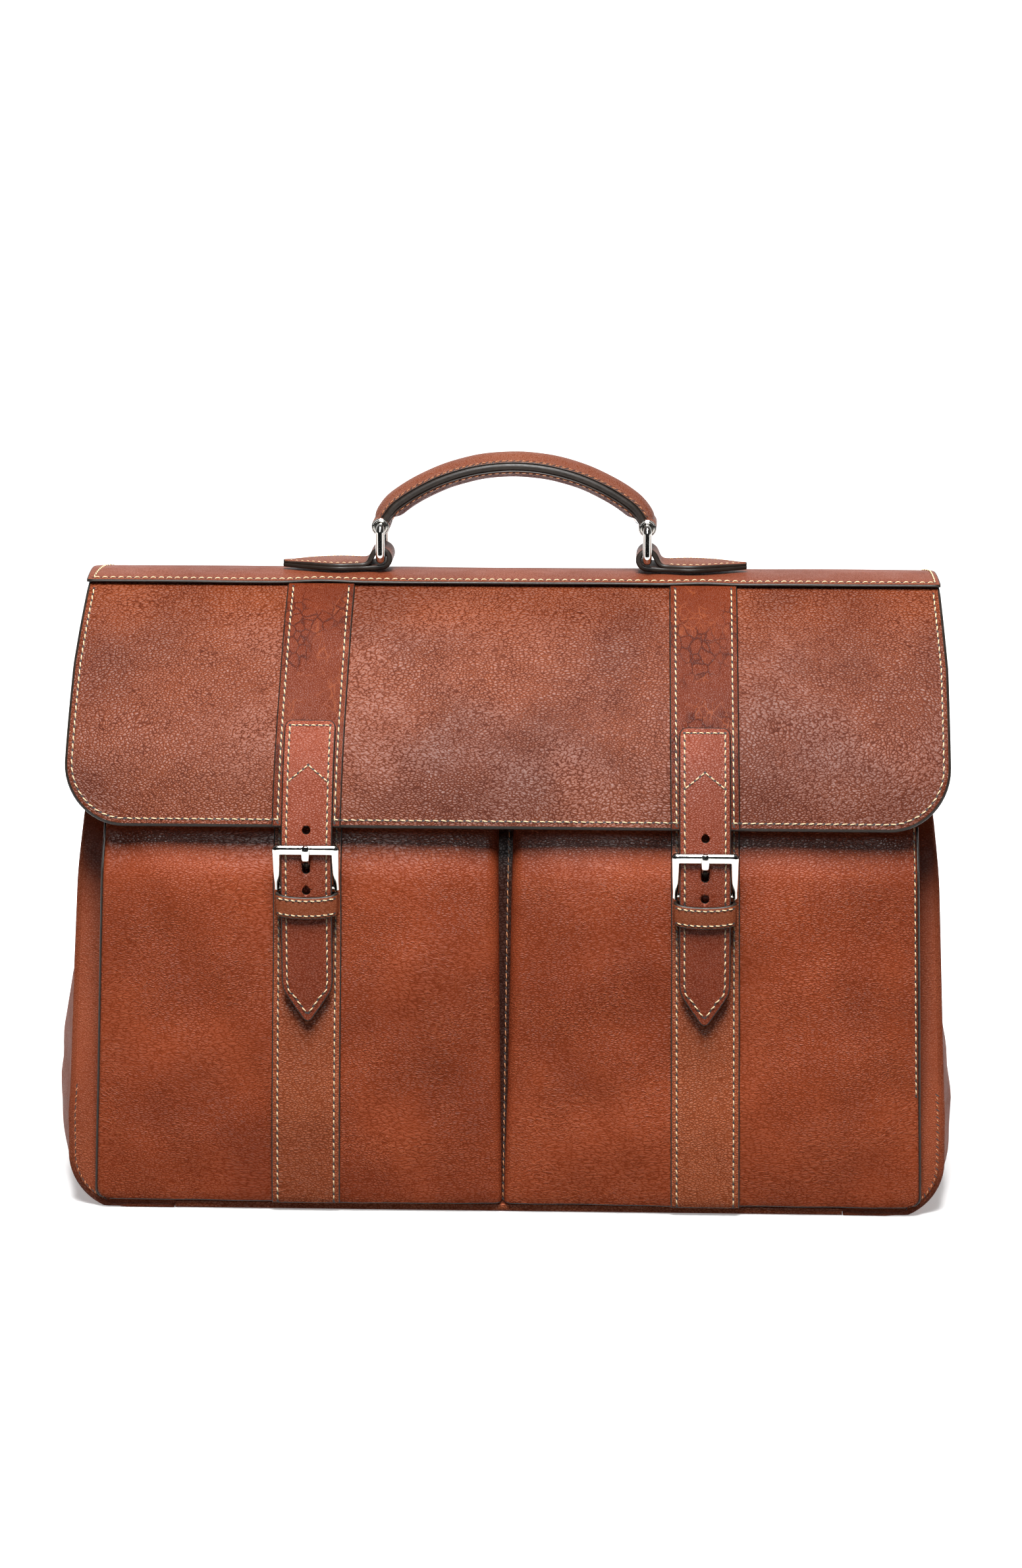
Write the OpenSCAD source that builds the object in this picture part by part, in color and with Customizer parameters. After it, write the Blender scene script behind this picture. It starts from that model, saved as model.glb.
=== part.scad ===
// Leather satchel briefcase with two front pockets, a full front flap closed by two
// buckled straps on hidden magnetic snaps, and a padded handle on two metal links.
// Frame: +X to the wearer's right seen from the front, -Y to the front, +Z up.
// The origin is at the centre of the footprint, on the surface that the case stands on.

/* [Case] */
// Width across the widest part of the case, at its bottom corners
case_w = 406; // [396:1:412]
// Width of the case at its mouth
mouth_w = 388; // [384:1:394]
// Height of the front wall and the gussets
wall_h = 272; // [268:1:274]
// Radius of the two bottom corners
corner_r = 26; // [24:1:34]
// How far the gusset swells past the wall's edge near the floor
gusset_swell = 7.5; // [4:0.5:8]
// How far the gusset folds in at the mouth
gusset_fold = 14; // [8:1:16]
// Thickness of the wall leather
leather = 2.4; // [2.2:0.1:2.4]

/* [Pockets] */
// Half width of the pair of front pockets
pocket_half_w = 190; // [186:1:192]
// Height of the pockets' mouths
pocket_h = 194; // [190:1:195]
// Gap between the two pockets
pocket_gap = 6.4; // [6:0.2:8]

/* [Flap] */
// Width of the flap at its bottom edge
flap_w = 407; // [398:1:408]
// Width of the flap where it meets the spine
flap_top_w = 401; // [394:1:402]
// Radius of the flap's bottom corners
flap_corner_r = 28; // [22:1:32]
// Height of the flap's bottom edge
flap_edge_z = 186.5; // [185:0.5:188]

/* [Straps] */
// Distance of each strap from the middle
strap_x = 91.5; // [85:0.5:100]
// Width of the closing strap
strap_w = 23; // [20:0.2:23.2]
// Thickness of the closing strap
strap_t = 2.2; // [2:0.1:2.2]
// Width of the sewn band that runs under each strap
band_w = 31.6; // [30:0.2:34]
// Thickness of the sewn band
band_t = 1.4; // [1.2:0.1:1.4]
// How much higher the left strap is buckled than the right one
stagger = 2.4; // [0:0.4:2.8]
// Diameter of the strap's punched holes
hole_d = 4; // [3.6:0.2:4.2]
// Distance between the punched holes
hole_pitch = 14; // [13:0.1:14]

/* [Handle] */
// Half the distance between the two links
link_x = 63; // [60:0.5:66]
// Height of a link between the middles of its two bars
link_h = 15.3; // [15:0.1:17]
// Radius of the links' wire
wire_r = 2.1; // [1.9:0.1:2.1]
// Width of the handle, front to back
handle_w = 22; // [21:0.5:22]
// Rise of the handle's middle line above its two ends
handle_rise = 28.7; // [26:0.1:30]
// Radius of the handle's arch
arch_r = 92; // [90:1:98]

/* [Hidden] */
$fn = 48;

gap = 0.3;              // air left between pieces that lie on each other
seam_x = 156;           // where a gusset's foot meets the base panel
snap_r = 8;             // radius of the magnetic snap's two halves
snap_z = 126;           // height of the snap
tan_leather = "#a0522d";
band_leather = "#a85a32";
edge_paint = "#35291f";
suede = "#b08a62";
steel = "#d8d8d4";

// Curves: a smooth line through a few points, a line beside another one, and a strip between two.
function blend_point(a, b, c, d, t) =
    0.5 * (2 * b + (c - a) * t + (2 * a - 5 * b + 4 * c - d) * t * t
           + (3 * b - a - 3 * c + d) * t * t * t);
function smooth(p, steps = 4) = concat(
    [for (i = [0 : len(p) - 2], k = [0 : steps - 1])
        blend_point(p[max(i - 1, 0)], p[i], p[i + 1], p[min(i + 2, len(p) - 1)], k / steps)],
    [p[len(p) - 1]]);
function unit(p) = p / norm(p);
function left_of(p, q) = let (d = unit(q - p)) [-d[1], d[0]];
function beside(path, d) = [
    for (i = [0 : len(path) - 1])
        let (a = i > 0 ? left_of(path[i - 1], path[i]) : left_of(path[0], path[1]),
             b = i < len(path) - 1 ? left_of(path[i], path[i + 1]) : a,
             m = unit(a + b))
        path[i] + m * d / (m * a)];
function reversed(p) = [for (i = [len(p) - 1 : -1 : 0]) p[i]];
function strip(path, d0, d1) = concat(beside(path, d0), reversed(beside(path, d1)));
function y_at(path, z) = lookup(z, [for (p = path) [p[1], p[0]]]);
function arc(c, r, a0, a1, n = 8) =
    [for (i = [0 : n]) c + r * [cos(a0 + (a1 - a0) * i / n), sin(a0 + (a1 - a0) * i / n)]];
function below(path, z) = [for (p = path) if (p[1] <= z) p];

// Side profiles, as [y, z] points of each piece's outer surface. Upward paths have the front
// on their left when they run up, so a positive distance beside them is towards the front.
front_line = smooth([[-49.5, 2], [-46.5, 50], [-37, 110], [-21, 180], [-4, 230], [11, wall_h]]);
back_line = smooth([[71, 2], [71, 110], [67, 200], [59, 284.4]]);
pocket_line = smooth([[-52, 2.8], [-53.6, 12], [-55, 40], [-55.3, 100], [-54.5, 150],
                      [-51.8, 180], [-48.5, pocket_h]]);
// The flap runs down from the spine's front edge. Its outer side is on its right.
flap_line = smooth([[10, 286.7], [-8, 271.5], [-25, 251.5], [-40.5, 231], [-51.5, 211.5],
                    [-59.5, flap_edge_z]]);
spine_line = smooth([[60.5, 285.5], [58.3, 289], [50, 290.9], [35, 291.8], [20, 291.2], [10.4, 289.6]]);
strap_hinge_z = 205;

// 2D to 3D: a side profile pulled along X, and a front outline pulled along Y.
module along_x(w) { rotate([90, 0, 90]) linear_extrude(height = w, center = true) children(); }
module along_y(d) { rotate([90, 0, 0]) linear_extrude(height = d, center = true) children(); }
module both_sides(x) { for (s = [-1, 1]) translate([s * x, 0, 0]) children(); }

// Case -------------------------------------------------------------------------------------

function half_w(z) =
    case_w / 2 + (mouth_w - case_w) / 2 * max(z - corner_r, 0) / (wall_h - corner_r);

// Outline of the walls, inset from the outside of the gussets
module wall_outline(inset, top) {
    r = corner_r - inset;
    side = case_w / 2 - inset;
    polygon(concat(
        arc([side - r, corner_r], r, -90, 0),
        [[half_w(top) - inset, top], [-half_w(top) + inset, top]],
        arc([r - side, corner_r], r, 180, 270)));
}

module back_panel() {
    color(tan_leather) intersection() {
        along_x(case_w) polygon(strip(back_line, 0, leather));
        along_y(400) wall_outline(leather + gap, 283.6);
    }
}

module front_panel() {
    color(tan_leather) intersection() {
        along_x(case_w) polygon(strip(front_line, 0, -leather));
        along_y(400) wall_outline(leather + gap, wall_h);
    }
}

module lining_back() {
    color(suede) intersection() {
        along_x(case_w) polygon(strip(back_line, leather + 0.15, leather + 0.95));
        along_y(400) translate([0, 5]) wall_outline(leather + 3, 270);
    }
}

module lining_front() {
    color(suede) intersection() {
        along_x(case_w) polygon(strip(front_line, -leather - 0.15, -leather - 0.95));
        along_y(400) translate([0, 5]) wall_outline(leather + 3, wall_h - 8);
    }
}

// A flat slip pocket sewn on the back lining
module inner_pocket() {
    color(suede) intersection() {
        along_x(240) polygon(strip(back_line, leather + 1.2, leather + 2.6));
        along_y(400) translate([-120, 60]) square([240, 140]);
    }
}

// How far the gusset stands out at a height, in the middle of its depth
function swell(z) = lookup(z, [[0, 0], [12, 0.3 * gusset_swell], [50, gusset_swell],
    [95, gusset_swell], [140, 0], [200, -0.6 * gusset_fold], [wall_h, -gusset_fold]]);

// The gusset's run, as [x, z] points from its top edge down and round the corner to the base
gusset_run = concat(
    [for (i = [0 : 9]) let (z = wall_h - (wall_h - corner_r) * i / 9) [half_w(z), z]],
    [for (i = [1 : 6]) let (a = -15 * i)
        [case_w / 2 - corner_r + corner_r * cos(a), corner_r + corner_r * sin(a)]],
    [[seam_x + gap, 0]]);
gusset_depths = [0, 0.08, 0.16, 0.26, 0.38, 0.5, 0.62, 0.74, 0.84, 0.92, 1];

function run_normal(i) =
    let (a = gusset_run[max(i - 1, 0)], b = gusset_run[min(i + 1, len(gusset_run) - 1)])
    left_of(b, a);
function gusset_point(i, t, inset) =
    let (p = gusset_run[i],
         y0 = y_at(front_line, max(p[1], 4)) - 0.5,
         y1 = y_at(back_line, max(p[1], 4)),
         edge = 5 / (y1 - y0),
         w = max(0, min(t, 1 - t) - edge) / (0.5 - edge),
         out = swell(p[1]) * w * w * (3 - 2 * w) - inset,
         n = run_normal(i))
    [p[0] - n[0] * out, y0 + (y1 - y0) * t, p[1] - n[1] * out];

module gusset() {
    rows = len(gusset_run);
    cols = len(gusset_depths);
    points = [for (inset = [0, leather], i = [0 : rows - 1], t = gusset_depths)
        gusset_point(i, t, inset)];
    in = rows * cols;
    function at(i, j) = i * cols + j;
    color(tan_leather) polyhedron(points = points, faces = concat(
        [for (i = [0 : rows - 2], j = [0 : cols - 2])
            [at(i, j), at(i, j + 1), at(i + 1, j + 1), at(i + 1, j)]],
        [for (i = [0 : rows - 2], j = [0 : cols - 2])
            [in + at(i, j), in + at(i + 1, j), in + at(i + 1, j + 1), in + at(i, j + 1)]],
        [for (i = [0 : rows - 2])
            [at(i, 0), at(i + 1, 0), in + at(i + 1, 0), in + at(i, 0)]],
        [for (i = [0 : rows - 2])
            [at(i + 1, cols - 1), at(i, cols - 1), in + at(i, cols - 1), in + at(i + 1, cols - 1)]],
        [for (j = [0 : cols - 2])
            [at(0, j + 1), at(0, j), in + at(0, j), in + at(0, j + 1)]],
        [for (j = [0 : cols - 2])
            [at(rows - 1, j), at(rows - 1, j + 1), in + at(rows - 1, j + 1), in + at(rows - 1, j)]]));
}

module base_panel() {
    color(tan_leather) translate([-seam_x, -49.7, 0]) cube([2 * seam_x, 120.7, leather]);
}

// The stiffener that keeps the floor of the case flat
module base_board() {
    color(edge_paint) translate([-165, -43, leather + gap]) cube([330, 107, 2]);
}

// Pockets ----------------------------------------------------------------------------------

// A pocket open at its top and closed behind by the front wall
module pocket(s) {
    wall = 2.2;
    floor_z = 8;
    x0 = pocket_gap / 2;
    w = pocket_half_w - x0;
    mouth_y = y_at(front_line, pocket_h);
    back_edge = beside(below(front_line, pocket_h), gap);
    outer = concat(reversed(below(back_edge, pocket_h)), pocket_line, [[mouth_y - 1, pocket_h]]);
    inner = concat([[mouth_y + 40, pocket_h + 9], [20, floor_z]], beside(pocket_line, -wall),
                   [[-48, pocket_h + 9]]);
    color(tan_leather) intersection() {
        difference() {
            translate([s * (x0 + w / 2), 0, 0]) along_x(w) polygon(outer);
            translate([s * (x0 + w / 2), 0, 0]) along_x(w - 2 * wall) polygon(
                [for (p = inner) [p[0], max(p[1], floor_z)]]);
        }
        along_y(400) wall_outline(leather + gap, pocket_h + 20);
    }
}

// The strip at the bottom of the pleat between the two pockets
pleat_line = smooth([[-51, 6], [-51.2, 40], [-50.2, 100], [-48.9, 150], [-45.9, 180], [-42.9, 192]]);
module centre_strip() {
    color(edge_paint) along_x(pocket_gap - 1.4) polygon(strip(pleat_line, 0, -1.1));
}

module lower_band(s) {
    color(band_leather) translate([s * strap_x, 0, 0]) along_x(band_w)
        polygon(strip(pocket_line, 0.2, 0.2 + band_t));
}

// Faces of the closure, as y positions at the snap's height
band_face = y_at(pocket_line, snap_z) - 0.2 - band_t;
module snap_disc(s, y, t) {
    color(steel) translate([s * strap_x, y, snap_z - s * stagger / 2]) rotate([90, 0, 0])
        cylinder(r = snap_r, h = t);
}
module snap_socket(s) { snap_disc(s, band_face - 0.15, 1); }
module snap_stud(s) { snap_disc(s, band_face - 1.4, 1); }

// Spine and handle tabs --------------------------------------------------------------------

module spine_panel() {
    color(tan_leather) along_x(flap_top_w) polygon(strip(spine_line, 0, 2.5));
}

module spine_board() {
    color(edge_paint) along_x(380) polygon(strip([[52, 290.4], [35, 291.8], [20, 291.2]], 2.9, 4.3));
}

tab_z = 292.3;          // underside of the handle tabs
tab_t = 3.4;            // thickness of a tab's two layers
loop_r = 5.6;           // outer radius of the loop that holds a link
loop_z = tab_z + loop_r;
handle_y = 35;          // middle of the handle, front to back
bar_clear = 0.25;       // running clearance round a link's bars

// Half the outline of a leaf-shaped tab, from its loop to its tip
leaf = smooth([[0, 10.6], [8, 10.6], [20, 12.8], [32, 9.6], [47, 1.8]], 5);
module handle_tab(s) {
    color(tan_leather) translate([s * link_x, handle_y, 0]) difference() {
        union() {
            translate([0, 0, tab_z]) linear_extrude(height = tab_t)
                polygon([for (p = concat(leaf, [for (q = reversed(leaf)) [q[0], -q[1]]]))
                    [s * p[0], p[1]]]);
            translate([0, 0, loop_z]) rotate([90, 0, 0])
                cylinder(r = loop_r, h = 21.2, center = true);
        }
        translate([0, 0, loop_z]) rotate([90, 0, 0])
            cylinder(r = wire_r + bar_clear, h = 30, center = true);
    }
}

// Flap -------------------------------------------------------------------------------------

flap_t = 2.4;
module flap_outline(inset) {
    r = flap_corner_r - inset;
    side = flap_w / 2 - inset;
    polygon(concat(
        arc([side - r, flap_edge_z + r + inset], r, -90, 0),
        [[flap_top_w / 2 - inset, 300], [-flap_top_w / 2 + inset, 300]],
        arc([r - side, flap_edge_z + r + inset], r, 180, 270)));
}

module flap_panel() {
    color(tan_leather) intersection() {
        along_x(flap_w + 10) polygon(strip(flap_line, 0, flap_t));
        along_y(400) flap_outline(0);
    }
}

module flap_lining() {
    color(suede) intersection() {
        along_x(flap_w) polygon(strip(flap_line, flap_t + 0.15, flap_t + 0.95));
        along_y(400) intersection() {
            flap_outline(1.5);
            translate([-250, 0]) square([500, 280]);
        }
    }
}

module flap_band(s) {
    color(band_leather) translate([s * strap_x, 0, 0]) intersection() {
        along_x(band_w) polygon(strip(flap_line, -0.2, -0.2 - band_t));
        translate([-50, -100, 0]) cube([100, 200, 283.3]);
    }
}

// Straps -----------------------------------------------------------------------------------

anchor_top = 232.4;       // height of the strap's sewn upper end
strap_off = 0.4 + band_t;
strap_over_flap = beside(flap_line, -strap_off);

module strap_anchor(s) {
    z1 = anchor_top - s * stagger / 2;
    color(tan_leather) translate([s * strap_x, 0, 0]) intersection() {
        along_x(strap_w) polygon(strip(strap_over_flap, 0, -strap_t));
        along_y(400) polygon(concat(
            [[-strap_w / 2, strap_hinge_z + 0.4], [strap_w / 2, strap_hinge_z + 0.4]],
            arc([strap_w / 2 - 3, z1 - 3], 3, 0, 90), arc([3 - strap_w / 2, z1 - 3], 3, 90, 180)));
    }
}

// The strap's back surface below its hinge, a little clear of the band. The part beside the flap
// stays, and the part that hangs below it rises or drops with the stagger.
strap_clear = 0.15;
function strap_line(lift) = smooth(concat(
    [for (z = [205, 195, 189.5]) [y_at(strap_over_flap, z) - strap_clear, z]],
    [for (p = [[-63.3, 175.5], [-64.1, 165.5], [-64.3, 157], [-63.9, 149], [-62.8, 130]])
        [p[0], p[1] + lift]],
    [[-61, tip_z]]));

tip_z = 94.9;           // height of the strap's point
tip_l = 17;             // length of the strap's point
hole_z = 170.6;         // height of the hole that the prong is in
slot_drop = 7.2;        // how far that hole is slotted down, which leaves the prong its play
module strap(s) {
    lift = -s * stagger / 2;
    color(tan_leather) translate([s * strap_x, 0, 0]) difference() {
        intersection() {
            along_x(strap_w) polygon(strip(strap_line(lift), 0, -strap_t));
            along_y(400) polygon(concat(
                [[strap_w / 2, tip_z + tip_l], [strap_w / 2, strap_hinge_z - 0.2],
                 [-strap_w / 2, strap_hinge_z - 0.2], [-strap_w / 2, tip_z + tip_l]],
                arc([0, tip_z + 2], 2, 215, 325)));
        }
        for (z = [hole_z + hole_pitch, hole_z - hole_pitch])
            translate([0, -60, z + lift]) rotate([90, 0, 0])
                cylinder(d = hole_d, h = 30, center = true);
        translate([-hole_d / 2, -80, hole_z + lift - slot_drop]) cube([hole_d, 30, slot_drop + 2]);
    }
}

bar = [-61.4, 157.4];   // y and z of the buckle's pivot bar
bar_r = 1.25;
tab_leather = 1.3;

// The leather tab that holds the buckle's bar and carries the keeper and the snap
module buckle_tab(s) {
    lift = -s * stagger / 2;
    r0 = bar_r + 0.15;
    r1 = r0 + tab_leather;
    color(tan_leather) translate([s * strap_x, 0, lift]) difference() {
        union() {
            translate([0, bar[0], bar[1]]) rotate([0, 90, 0]) cylinder(r = r1, h = 20, center = true);
            translate([-10, bar[0], 108]) cube([20, 1.5, bar[1] - 108]);
        }
        translate([0, bar[0], bar[1]]) rotate([0, 90, 0]) cylinder(r = r0, h = 30, center = true);
        translate([-2.3, bar[0] - 5, bar[1] - 3.6]) cube([4.6, 10, 12]);
    }
}

keeper_z = 144.1;       // lower edge of the keeper
keeper_h = 10.1;
module keeper(s) {
    lift = -s * stagger / 2;
    color(band_leather) translate([s * strap_x, 0, keeper_z + lift]) difference() {
        linear_extrude(height = keeper_h) keeper_ring(1.8);
        translate([0, 0, -1]) linear_extrude(height = keeper_h + 2) keeper_ring(0);
    }
}
// A flattened ring round the strap and the buckle tab, seen from above
module keeper_ring(out) {
    x = 12.8 + out;
    y0 = -59.3 + out;
    y1 = -66.7 - out;
    r = 1.5 + out;
    polygon(concat(arc([x - r, y0 - r], r, 90, 0), arc([x - r, y1 + r], r, 0, -90),
                   arc([r - x, y1 + r], r, 270, 180), arc([r - x, y0 - r], r, 180, 90)));
}

frame_half = 15.5;      // half the buckle frame's width
frame_in = 11.9;        // half its opening
top_bar = [-67.9, 176.4];
module buckle_frame(s) {
    lift = -s * stagger / 2;
    side = [bar, [-65.4, 164.9], [top_bar[0], top_bar[1] - 1]];
    color(steel) translate([s * strap_x, 0, lift]) union() {
        along_x(2 * frame_half) translate(top_bar)
            polygon([[-1.2, -2.1], [1.2, -2.1], [1.2, 2.1], [0.4, 2.3], [-0.6, 2.3], [-1.2, 1.8]]);
        both_sides((frame_half + frame_in) / 2) along_x(frame_half - frame_in)
            polygon(strip(side, 1.2, -1.2));
        both_sides((frame_half + frame_in) / 2) translate([0, bar[0], bar[1]]) rotate([0, 90, 0])
            cylinder(r = 1.9, h = frame_half - frame_in, center = true);
        translate([0, bar[0], bar[1]]) rotate([0, 90, 0])
            cylinder(r = bar_r, h = 2 * frame_in + 1, center = true);
    }
}

prong_w = 3.4;
module prong(s) {
    lift = -s * stagger / 2;
    shank = [for (p = [[-61.4, 1], [-61.7, 6.9], [-67.4, 14], [-69.95, 15.6], [-69.95, 21.2]])
        [p[0], bar[1] + p[1]]];
    color(steel) translate([s * strap_x, 0, lift]) difference() {
        union() {
            along_x(prong_w) polygon(strip(shank, 0.7, -0.7));
            translate([0, bar[0], bar[1]]) rotate([0, 90, 0]) cylinder(r = 2.3, h = prong_w, center = true);
        }
        translate([0, bar[0], bar[1]]) rotate([0, 90, 0]) cylinder(r = bar_r + 0.1, h = 9, center = true);
    }
}

// Handle -----------------------------------------------------------------------------------

tube_z = loop_z + link_h;
tube_r = wire_r + bar_clear + 0.9;
tube_half = handle_w / 2 + 0.3;
leg_y = tube_half + 0.8 + gap + wire_r;
bend_r = wire_r + 0.4;

// A closed ring of round wire, standing in the YZ plane
module link(s) {
    straight_y = leg_y - bend_r;
    straight_z = link_h / 2 - bend_r;
    color(steel) translate([s * link_x, handle_y, loop_z + link_h / 2]) union() {
        for (q = [-1, 1]) {
            translate([0, q * leg_y, 0]) cylinder(r = wire_r, h = 2 * straight_z, center = true);
            translate([0, 0, q * link_h / 2]) rotate([90, 0, 0])
                cylinder(r = wire_r, h = 2 * straight_y, center = true);
        }
        for (q = [0, 1], r = [0, 1])
            translate([0, (q ? 1 : -1) * straight_y, (r ? 1 : -1) * straight_z])
                rotate([0, 90, 0]) rotate([0, 0, q ? (r ? 90 : 0) : (r ? 180 : 270)])
                    rotate_extrude(angle = 90) translate([bend_r, 0]) circle(r = wire_r);
    }
}

arch_top = tube_z + handle_rise;
arch_half = 57;         // where the arch ends and the straight run to the tube starts
arch_turn = asin(arch_half / arch_r);

// A strip of the arch whose section is given as [distance out from the middle line, y] points
module arch(section) {
    translate([0, handle_y, arch_top - arch_r]) rotate([90, 0, 0])
        rotate([0, 0, 90 - arch_turn]) rotate_extrude(angle = 2 * arch_turn)
            polygon([for (p = section) [arch_r + p[0], p[1]]]);
}
// The straight run at one end, of the same thickness
module arch_end(s, lo, hi, half, stop = 0) {
    from = [arch_half, arch_top - arch_r + arch_r * cos(arch_turn)];
    to = [link_x, tube_z];
    along = unit(to - from);
    side = [-along[1], along[0]];
    start = arch_r * [sin(arch_turn), cos(arch_turn)];
    radial = [sin(arch_turn), cos(arch_turn)];
    end = to - along * stop;
    translate([0, handle_y, 0]) along_y(2 * half) polygon([for (p = [
        from + radial * lo, from + radial * hi, end + side * hi, end + side * lo]) [s * p[0], p[1]]]);
}

module handle_core() {
    h = handle_w / 2;
    color(edge_paint) difference() {
        union() {
            arch([[-2.2, -h], [2.2, -h], [2.2, h], [-2.2, h]]);
            for (s = [-1, 1]) arch_end(s, -2.2, 2.2, h);
            both_sides(link_x) translate([0, handle_y, tube_z]) rotate([90, 0, 0])
                cylinder(r = tube_r + 1.6, h = handle_w, center = true);
        }
        both_sides(link_x) translate([0, handle_y, tube_z]) rotate([90, 0, 0])
            cylinder(r = tube_r + 0.1, h = 40, center = true);
    }
}

// Half a padded cover: a low flange at the handle's edges and a round crown in its middle
crown = smooth([[2.3, 10.8], [3.2, 10.7], [3.6, 8], [5, 5.4], [5.6, 2.5], [5.7, 0]], 3);
function cover(q) = [for (p = concat(crown, [for (c = reversed(crown)) [c[0], -c[1]]])) [q * p[0], p[1]]];
module handle_top() { color(tan_leather) arch(cover(1)); }
module handle_underside() { color(tan_leather) arch(cover(-1)); }

module handle_tube(s) {
    color(steel) translate([s * link_x, handle_y, tube_z]) rotate([90, 0, 0]) difference() {
        union() {
            cylinder(r = tube_r, h = 2 * tube_half, center = true);
            for (q = [-1, 1]) translate([0, 0, q * (tube_half + 0.4)])
                cylinder(r = tube_r + 0.9, h = 0.8, center = true);
        }
        cylinder(r = wire_r + bar_clear, h = 60, center = true);
    }
}

back_panel();
front_panel();
mirror([1, 0, 0]) gusset();  // gusset_left
gusset();  // gusset_right
base_panel();
base_board();
lining_back();
lining_front();
inner_pocket();
pocket(-1);  // pocket_left
pocket(1);  // pocket_right
centre_strip();
lower_band(-1);  // lower_band_left
lower_band(1);  // lower_band_right
snap_socket(-1);  // snap_socket_left
snap_socket(1);  // snap_socket_right
spine_panel();
spine_board();
handle_tab(-1);  // handle_tab_left
handle_tab(1);  // handle_tab_right
flap_panel();
flap_lining();
flap_band(-1);  // flap_band_left
flap_band(1);  // flap_band_right
strap_anchor(-1);  // strap_anchor_left
strap_anchor(1);  // strap_anchor_right
strap(-1);  // strap_left
buckle_tab(-1);  // buckle_tab_left
keeper(-1);  // keeper_left
snap_stud(-1);  // snap_stud_left
buckle_frame(-1);  // buckle_frame_left
prong(-1);  // prong_left
strap(1);  // strap_right
buckle_tab(1);  // buckle_tab_right
keeper(1);  // keeper_right
snap_stud(1);  // snap_stud_right
buckle_frame(1);  // buckle_frame_right
prong(1);  // prong_right
link(-1);  // link_left
link(1);  // link_right
handle_core();
handle_top();
handle_underside();
handle_tube(-1);  // handle_tube_left
handle_tube(1);  // handle_tube_right
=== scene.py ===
"""Looks of the leather briefcase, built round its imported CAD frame.

Every size is in millimetres until a mesh is made, in the CAD's own frame: +X to the right seen
from the front, -Y to the front, +Z up, with the origin under the middle of the case.
"""

import math

import bpy
import numpy as np
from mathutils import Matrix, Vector


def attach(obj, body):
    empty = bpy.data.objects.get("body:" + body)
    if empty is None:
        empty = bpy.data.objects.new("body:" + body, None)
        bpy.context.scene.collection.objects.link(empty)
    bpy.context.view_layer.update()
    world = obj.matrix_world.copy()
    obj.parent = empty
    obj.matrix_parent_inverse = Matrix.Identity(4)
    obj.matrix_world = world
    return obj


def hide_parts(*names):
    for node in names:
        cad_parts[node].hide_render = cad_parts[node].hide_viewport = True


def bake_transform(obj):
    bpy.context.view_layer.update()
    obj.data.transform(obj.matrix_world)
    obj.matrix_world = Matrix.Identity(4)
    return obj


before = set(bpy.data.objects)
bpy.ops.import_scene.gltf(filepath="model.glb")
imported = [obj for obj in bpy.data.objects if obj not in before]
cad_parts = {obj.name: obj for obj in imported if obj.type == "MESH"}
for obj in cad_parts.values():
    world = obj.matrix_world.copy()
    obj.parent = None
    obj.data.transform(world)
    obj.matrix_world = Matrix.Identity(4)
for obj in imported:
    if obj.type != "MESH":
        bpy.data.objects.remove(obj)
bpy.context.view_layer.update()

MM = 0.001
SIDES = {"left": -1, "right": 1}  # as seen from the front

# Curves and lines -----------------------------------------------------------------------


def smooth(points, steps=10):
    """A curve through the points, the same one that the CAD uses."""
    p = [np.array(q, float) for q in points]
    out = []
    for i in range(len(p) - 1):
        a, b, c, d = p[max(i - 1, 0)], p[i], p[i + 1], p[min(i + 2, len(p) - 1)]
        for k in range(steps):
            t = k / steps
            out.append(
                0.5 * (2 * b + (c - a) * t + (2 * a - 5 * b + 4 * c - d) * t * t
                       + (3 * b - a - 3 * c + d) * t**3)
            )
    out.append(p[-1])
    return np.array(out)


def unit(v):
    v = np.asarray(v, float)
    return v / np.maximum(np.linalg.norm(v, axis=-1, keepdims=True), 1e-9)


def run_of(points):
    """Distance along a path at each of its points."""
    return np.concatenate([[0], np.cumsum(np.linalg.norm(np.diff(points, axis=0), axis=1))])


def values_at(at, run, values):
    """The columns of a path's values, at distances along it."""
    return np.stack([np.interp(at, run, column) for column in np.asarray(values, float).T], -1)


def evened(path, count, rounds):
    """A path with its points at equal distances, softened a number of times."""
    run = run_of(path)
    path = values_at(np.linspace(0, run[-1], count), run, path)
    for _ in range(rounds):
        path[1:-1] = (path[:-2] + 2 * path[1:-1] + path[2:]) / 4
    return path


def once_round(count):
    return np.linspace(0, 2 * math.pi, count + 1)[:-1]


def oval(count, half_x, half_y, power_x=1.0, power_y=1.0):
    """An outline of points round its middle, an ellipse that is squarer the lower its powers are."""
    c, s = np.cos(once_round(count)), np.sin(once_round(count))
    x = np.sign(c) * np.abs(c) ** power_x * half_x
    return np.stack([x, np.sign(s) * np.abs(s) ** power_y * half_y], -1)


def rounded(r, reach):
    """How far a corner of radius r has turned in at a reach past where it starts."""
    reach = np.clip(reach, 0, r)
    return r - np.sqrt(np.maximum(r * r - reach * reach, 0))


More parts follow.
